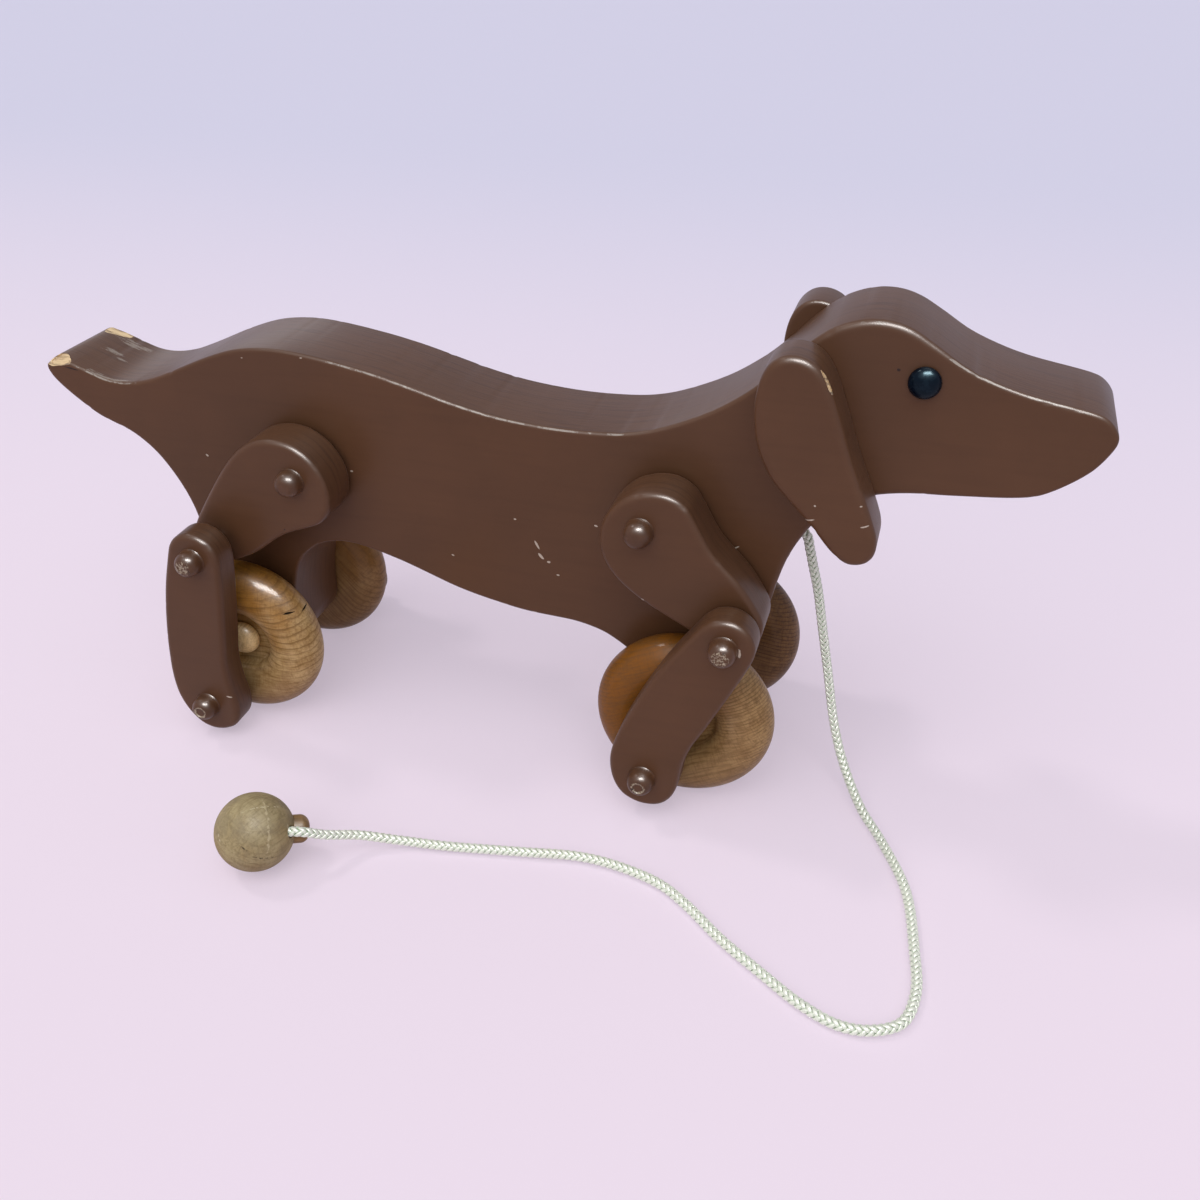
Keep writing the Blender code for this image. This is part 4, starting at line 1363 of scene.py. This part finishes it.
for side in sideSign:
    ear = sawnBoard("ear_" + side, earSpec)
    if side == earSpec["chipSide"]:
        ear.data.materials.append(earPaint)
        place, size, turn, seed = earSpec["chip"]
        carve(ear, splinter(place, size, turn, bareWood, seed))
    settle(ear, side + "Ear", earPaint, "dog", "ear_" + side)
print("ears made")


# Legs

upperLegSpec = {
    "cadRim": 2.6, "rim": 2.2, "step": 0.8, "nick": 0.12, "hipHole": 3.15, "kneeHole": 3.05,
    "runs": [(-100, -70, 0.45), (40, 66, 0.5)],
    "pale": [((54.3, -39.8, 89.6), 0.7, 0.5, 0), ((-95.0, 39.8, 100.0), 0.8, 0.5, 20)],
    "dark": [((-90.0, -39.8, 96.0), 0.4, 0.4, 0)],
}
lowerLegSpec = {
    "cadRim": 2.6, "rim": 2.3, "step": 0.8, "nick": 0.12, "hole": 3.15,
    "runs": [(-135, -108, 0.6), (76, 98, 0.65)],
    "pale": [((93.3, -54.4, 83.6), 2.2, 0.75, 82), ((-117.5, -58.5, 22.1), 1.2, 0.4, 10),
             ((80.0, 54.4, 50.0), 0.9, 0.4, 30)],
    "dark": [((96.9, -52.2, 77.0), 1.0, 0.8, 60), ((-118.0, 58.5, 60.0), 0.6, 0.4, 0)],
}
upperPaint = paintFinish("upperLegPaint", upperLegSpec)
lowerPaint = paintFinish("lowerLegPaint", lowerLegSpec)
for leg in legs:
    upper = sawnBoard(leg + "_upper_leg", upperLegSpec)
    pegHoles(upper, [leg + "_hip_peg"], upperLegSpec["hipHole"])
    pegHoles(upper, [leg + "_knee_peg"], upperLegSpec["kneeHole"])
    settle(upper, legName(leg, "UpperLeg"), upperPaint, leg + "_thigh", leg + "_upper_leg")
    lower = sawnBoard(leg + "_lower_leg", lowerLegSpec)
    pegHoles(lower, [leg + "_knee_peg", leg + "_crank_peg"], lowerLegSpec["hole"])
    settle(lower, legName(leg, "LowerLeg"), lowerPaint, leg + "_shin", leg + "_lower_leg")
print("legs made")


# Pegs on their bodies

pegPaint = pegPaintFinish(pegPaintSpec, paintSpec)
pegBodies = {"hip": "dog", "knee": "{}_thigh", "crank": "{}_shin"}
for kind, body in pegBodies.items():
    master = pegMaster(kind, pegSpec)
    for leg in legs:
        node = leg + "_" + kind + "_peg"
        name = legName(leg, kind.capitalize() + "Peg")
        peg = pegCopy(master, node, legSign(leg), pegSpec)
        settle(peg, name, pegPaint, body.format(leg), node, 50)
    bpy.data.objects.remove(master, do_unlink=True)
print("pegs made")


# Wheels and axle pegs

wheelWoods = {
    # turn of the grain, heart of the rings across it, ring width, colours
    # sides are tint, way that the side faces, start, stop, share: the first is deeper varnish with some
    # painted shade, the second, facing down, is painted shade
    "rear_right": {
        "turn": (0, -4, 0), "heart": (14, -95), "ring": 3.0,
        "pale": (0.54, 0.365, 0.165), "mid": (0.43, 0.265, 0.10), "dark": (0.165, 0.078, 0.020),
        "sides": [((0.37, 0.165, 0.026), (-0.6, -0.2, 0.8), -0.35, 0.6, 1.0),
                  ((0.25, 0.145, 0.068), (0.2, 0, -1), 0.2, 1.0, 0.9)]},
    "front_right": {
        "turn": (0, -27, 0), "heart": (-10, -70), "ring": 1.4, "fine": ((0.05, 0.9, 0.9), 4.0, 0.65),
        "pale": (0.38, 0.235, 0.10), "mid": (0.30, 0.175, 0.068), "dark": (0.100, 0.048, 0.014),
        "sides": [((0.205, 0.072, 0.006), (-0.8, -0.1, 0.55), -0.35, 0.6, 1.0),
                  ((0.22, 0.125, 0.055), (0.2, 0, -1), 0.2, 1.0, 0.8)]},
    # the left wheels stand on the far side: their darker colours are partly their own wood and partly painted
    # shade
    "rear_left": {
        "turn": (0, 48, 0), "heart": (12, -80), "ring": 2.5,
        "pale": (0.33, 0.19, 0.080), "mid": (0.26, 0.145, 0.055), "dark": (0.14, 0.068, 0.024),
        "sides": [((0.25, 0.115, 0.030), (0.2, 0.4, 0.8), -0.25, 0.75, 0.95),
                  ((0.22, 0.12, 0.05), (0.2, 0, -1), 0.2, 1.0, 0.8)]},
    "front_left": {
        "turn": (0, 8, 0), "heart": (9, 75), "ring": 1.7, "fine": ((0.05, 1.0, 1.0), 4.0, 0.65),
        "pale": (0.20, 0.100, 0.036), "mid": (0.155, 0.075, 0.026), "dark": (0.040, 0.017, 0.007),
        "sides": [((0.12, 0.052, 0.014), (-0.3, 0.2, 0.8), -0.25, 0.75, 0.95),
                  ((0.12, 0.056, 0.020), (0.2, 0, -1), 0.2, 1.0, 0.8)]},
}
wheelVarnish = {
    "size": wheelSpec["radius"], "wander": 1.4, "contrast": 0.68, "roughness": 0.42, "specular": 0.10,
    "coat": 0.16, "coatRoughness": 0.16, "relief": 0.4,
}
knobWoodSpec = {
    "centre": (0, 0, 0), "turn": (0, 0, 90), "heart": (30, 14), "ring": 1.6, "wander": 1.2,
    "pale": (0.94, 0.72, 0.38), "mid": (0.88, 0.63, 0.29), "dark": (0.44, 0.25, 0.09), "contrast": 0.50,
    "specular": 0.3, "roughness": 0.45, "coat": 0.15, "coatRoughness": 0.25, "relief": 0.35,
}
splitShade = splitShadeFinish(splitSpec)
wheelMade = wheelMaster(wheelSpec)
axleMade = axlePeg(axleSpec)
knobWood = woodFinish("knobWood", knobWoodSpec)
for leg in legs:
    low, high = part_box(leg + "_wheel")
    middle = (low + high) / 2
    wood = woodFinish(legName(leg, "WheelWood"), {**wheelWoods[leg], **wheelVarnish, "centre": middle / mm})
    wheel = copied(wheelMade)
    outwards(wheel, leg + "_wheel", legSign(leg), abs(middle.y))
    wheel.data.materials.append(wood)
    drillWheel(wheel, leg, wheelSpec)
    if leg == wheelSpec["splitLeg"]:
        for place, size, turn in wheelSpec["splits"]:
            # the splits are cut and filled with painted shade
            carve(wheel, splinter(place, size, turn, splitShade, wheelSpec["splitSeed"]))
    settle(wheel, legName(leg, "Wheel"), wood, leg + "_roller", leg + "_wheel", 40)
    axle = pegCopy(axleMade, leg + "_axle_peg", legSign(leg), axleSpec)
    settle(axle, legName(leg, "AxlePeg"), knobWood, "dog", leg + "_axle_peg", 50)
for master in (wheelMade, axleMade):
    bpy.data.objects.remove(master, do_unlink=True)
print("wheels and axle pegs made")


# Eyes

eyeGlossSpec = {
    "haze": (420.0, 3.0, 0.55),
    "hazeShare": (0.4, 0.7),
    "clear": (0.002, 0.004, 0.009),
    "hazy": (0.004, 0.008, 0.015),
    "roughness": (0.35, 0.75, 0.22, 0.34),
    "gloss": {"Specular IOR Level": 0.12, "Specular Tint": (0.50, 0.86, 1.0), "Coat Weight": 0.04,
              "Coat Roughness": 0.16},
    "bump": (0.15, 0.1),
}


def eyeFinish(spec):
    finish, tree, shader, coords = newFinish("eyeGloss")
    haze = grainNoise(tree, coords, spec["haze"])
    colour = mixColour(tree, ease(tree, haze, *spec["hazeShare"]), spec["clear"], spec["hazy"])
    dull = ease(tree, haze, *spec["roughness"])
    setInputs(tree, shader, {"Base Color": colour, "Roughness": dull, **spec["gloss"]})
    setBump(tree, shader, haze, spec["bump"])
    return finish


eyeGloss = eyeFinish(eyeGlossSpec)
eyeMade = eyeDome(eyeSpec)
for side, sign in sideSign.items():
    eye = pegCopy(eyeMade, "eye_" + side, sign, eyeSpec)
    settle(eye, side + "Eye", eyeGloss, "dog", "eye_" + side, 50)
bpy.data.objects.remove(eyeMade, do_unlink=True)
print("eyes made")


# Ball and plug on the cord

ballWoodSpec = {
    "centre": ballSpec["centre"], "size": ballSpec["radius"], "turn": (12, 0, 70), "heart": (10, -40),
    "ring": 2.2, "wander": 1.0, "pale": (0.40, 0.325, 0.175), "mid": (0.33, 0.25, 0.125),
    "dark": (0.17, 0.118, 0.054), "contrast": 0.35, "soil": (0.24, 0.19, 0.11), "roughness": 0.58,
    "specular": 0.12, "coat": 0.0, "coatRoughness": 0.3, "relief": 0.45,
    # darker towards the bottom: painted shade near the floor
    "sides": [((0.22, 0.155, 0.085), (0.1, -0.1, -1), 0.0, 0.9, 0.75)],
    # tint, from, to, half width, share
    "scratches": [((0.62, 0.55, 0.38), (-70.36, -124.17, 28.11), (-61.36, -114.65, 24.34), 0.50, 0.65),
                  ((0.58, 0.49, 0.31), (-67.95, -115.41, 28.03), (-59.96, -129.04, 14.89), 0.60, 0.55),
                  ((0.05, 0.035, 0.02), (-64.05, -132.07, 15.65), (-58.43, -126.46, 12.04), 0.32, 0.9),
                  ((0.06, 0.04, 0.025), (-67.56, -132.29, 20.02), (-65.43, -132.38, 18.27), 0.30, 0.85),
                  ((0.62, 0.56, 0.42), (-77.92, -129.99, 21.1), (-76.69, -131.53, 19.11), 0.30, 0.8),
                  ((0.62, 0.56, 0.42), (-57.89, -117.05, 20.46), (-56.45, -120.06, 16.5), 0.30, 0.8)],
}
plugWoodSpec = {
    "centre": ballSpec["centre"], "turn": (0, 12, 36), "heart": (20, -12), "ring": 1.4, "wander": 1.0,
    "pale": (0.31, 0.185, 0.070), "mid": (0.24, 0.135, 0.046), "dark": (0.12, 0.064, 0.022), "contrast": 0.5,
    "roughness": 0.5, "specular": 0.25, "coat": 0.1, "coatRoughness": 0.3, "relief": 0.4,
}
ballWood = woodFinish("ballWood", ballWoodSpec)
plugWood = woodFinish("plugWood", plugWoodSpec)
pullBall = turnedBall(ballSpec)
drillBall(pullBall, pointing(*cordSpec["ballWay"]), ballSpec["cordHole"], ballSpec)
drillBall(pullBall, pointing(*plugSpec["way"]), ballSpec["plugHole"], ballSpec)
settle(pullBall, "pullBall", ballWood, "dog", "ball", 40)
ballPlug = plugHead(plugSpec, ballSpec)
settle(ballPlug, "ballPlug", plugWood, "dog", "ball_plug", 50)
print("ball and plug made")
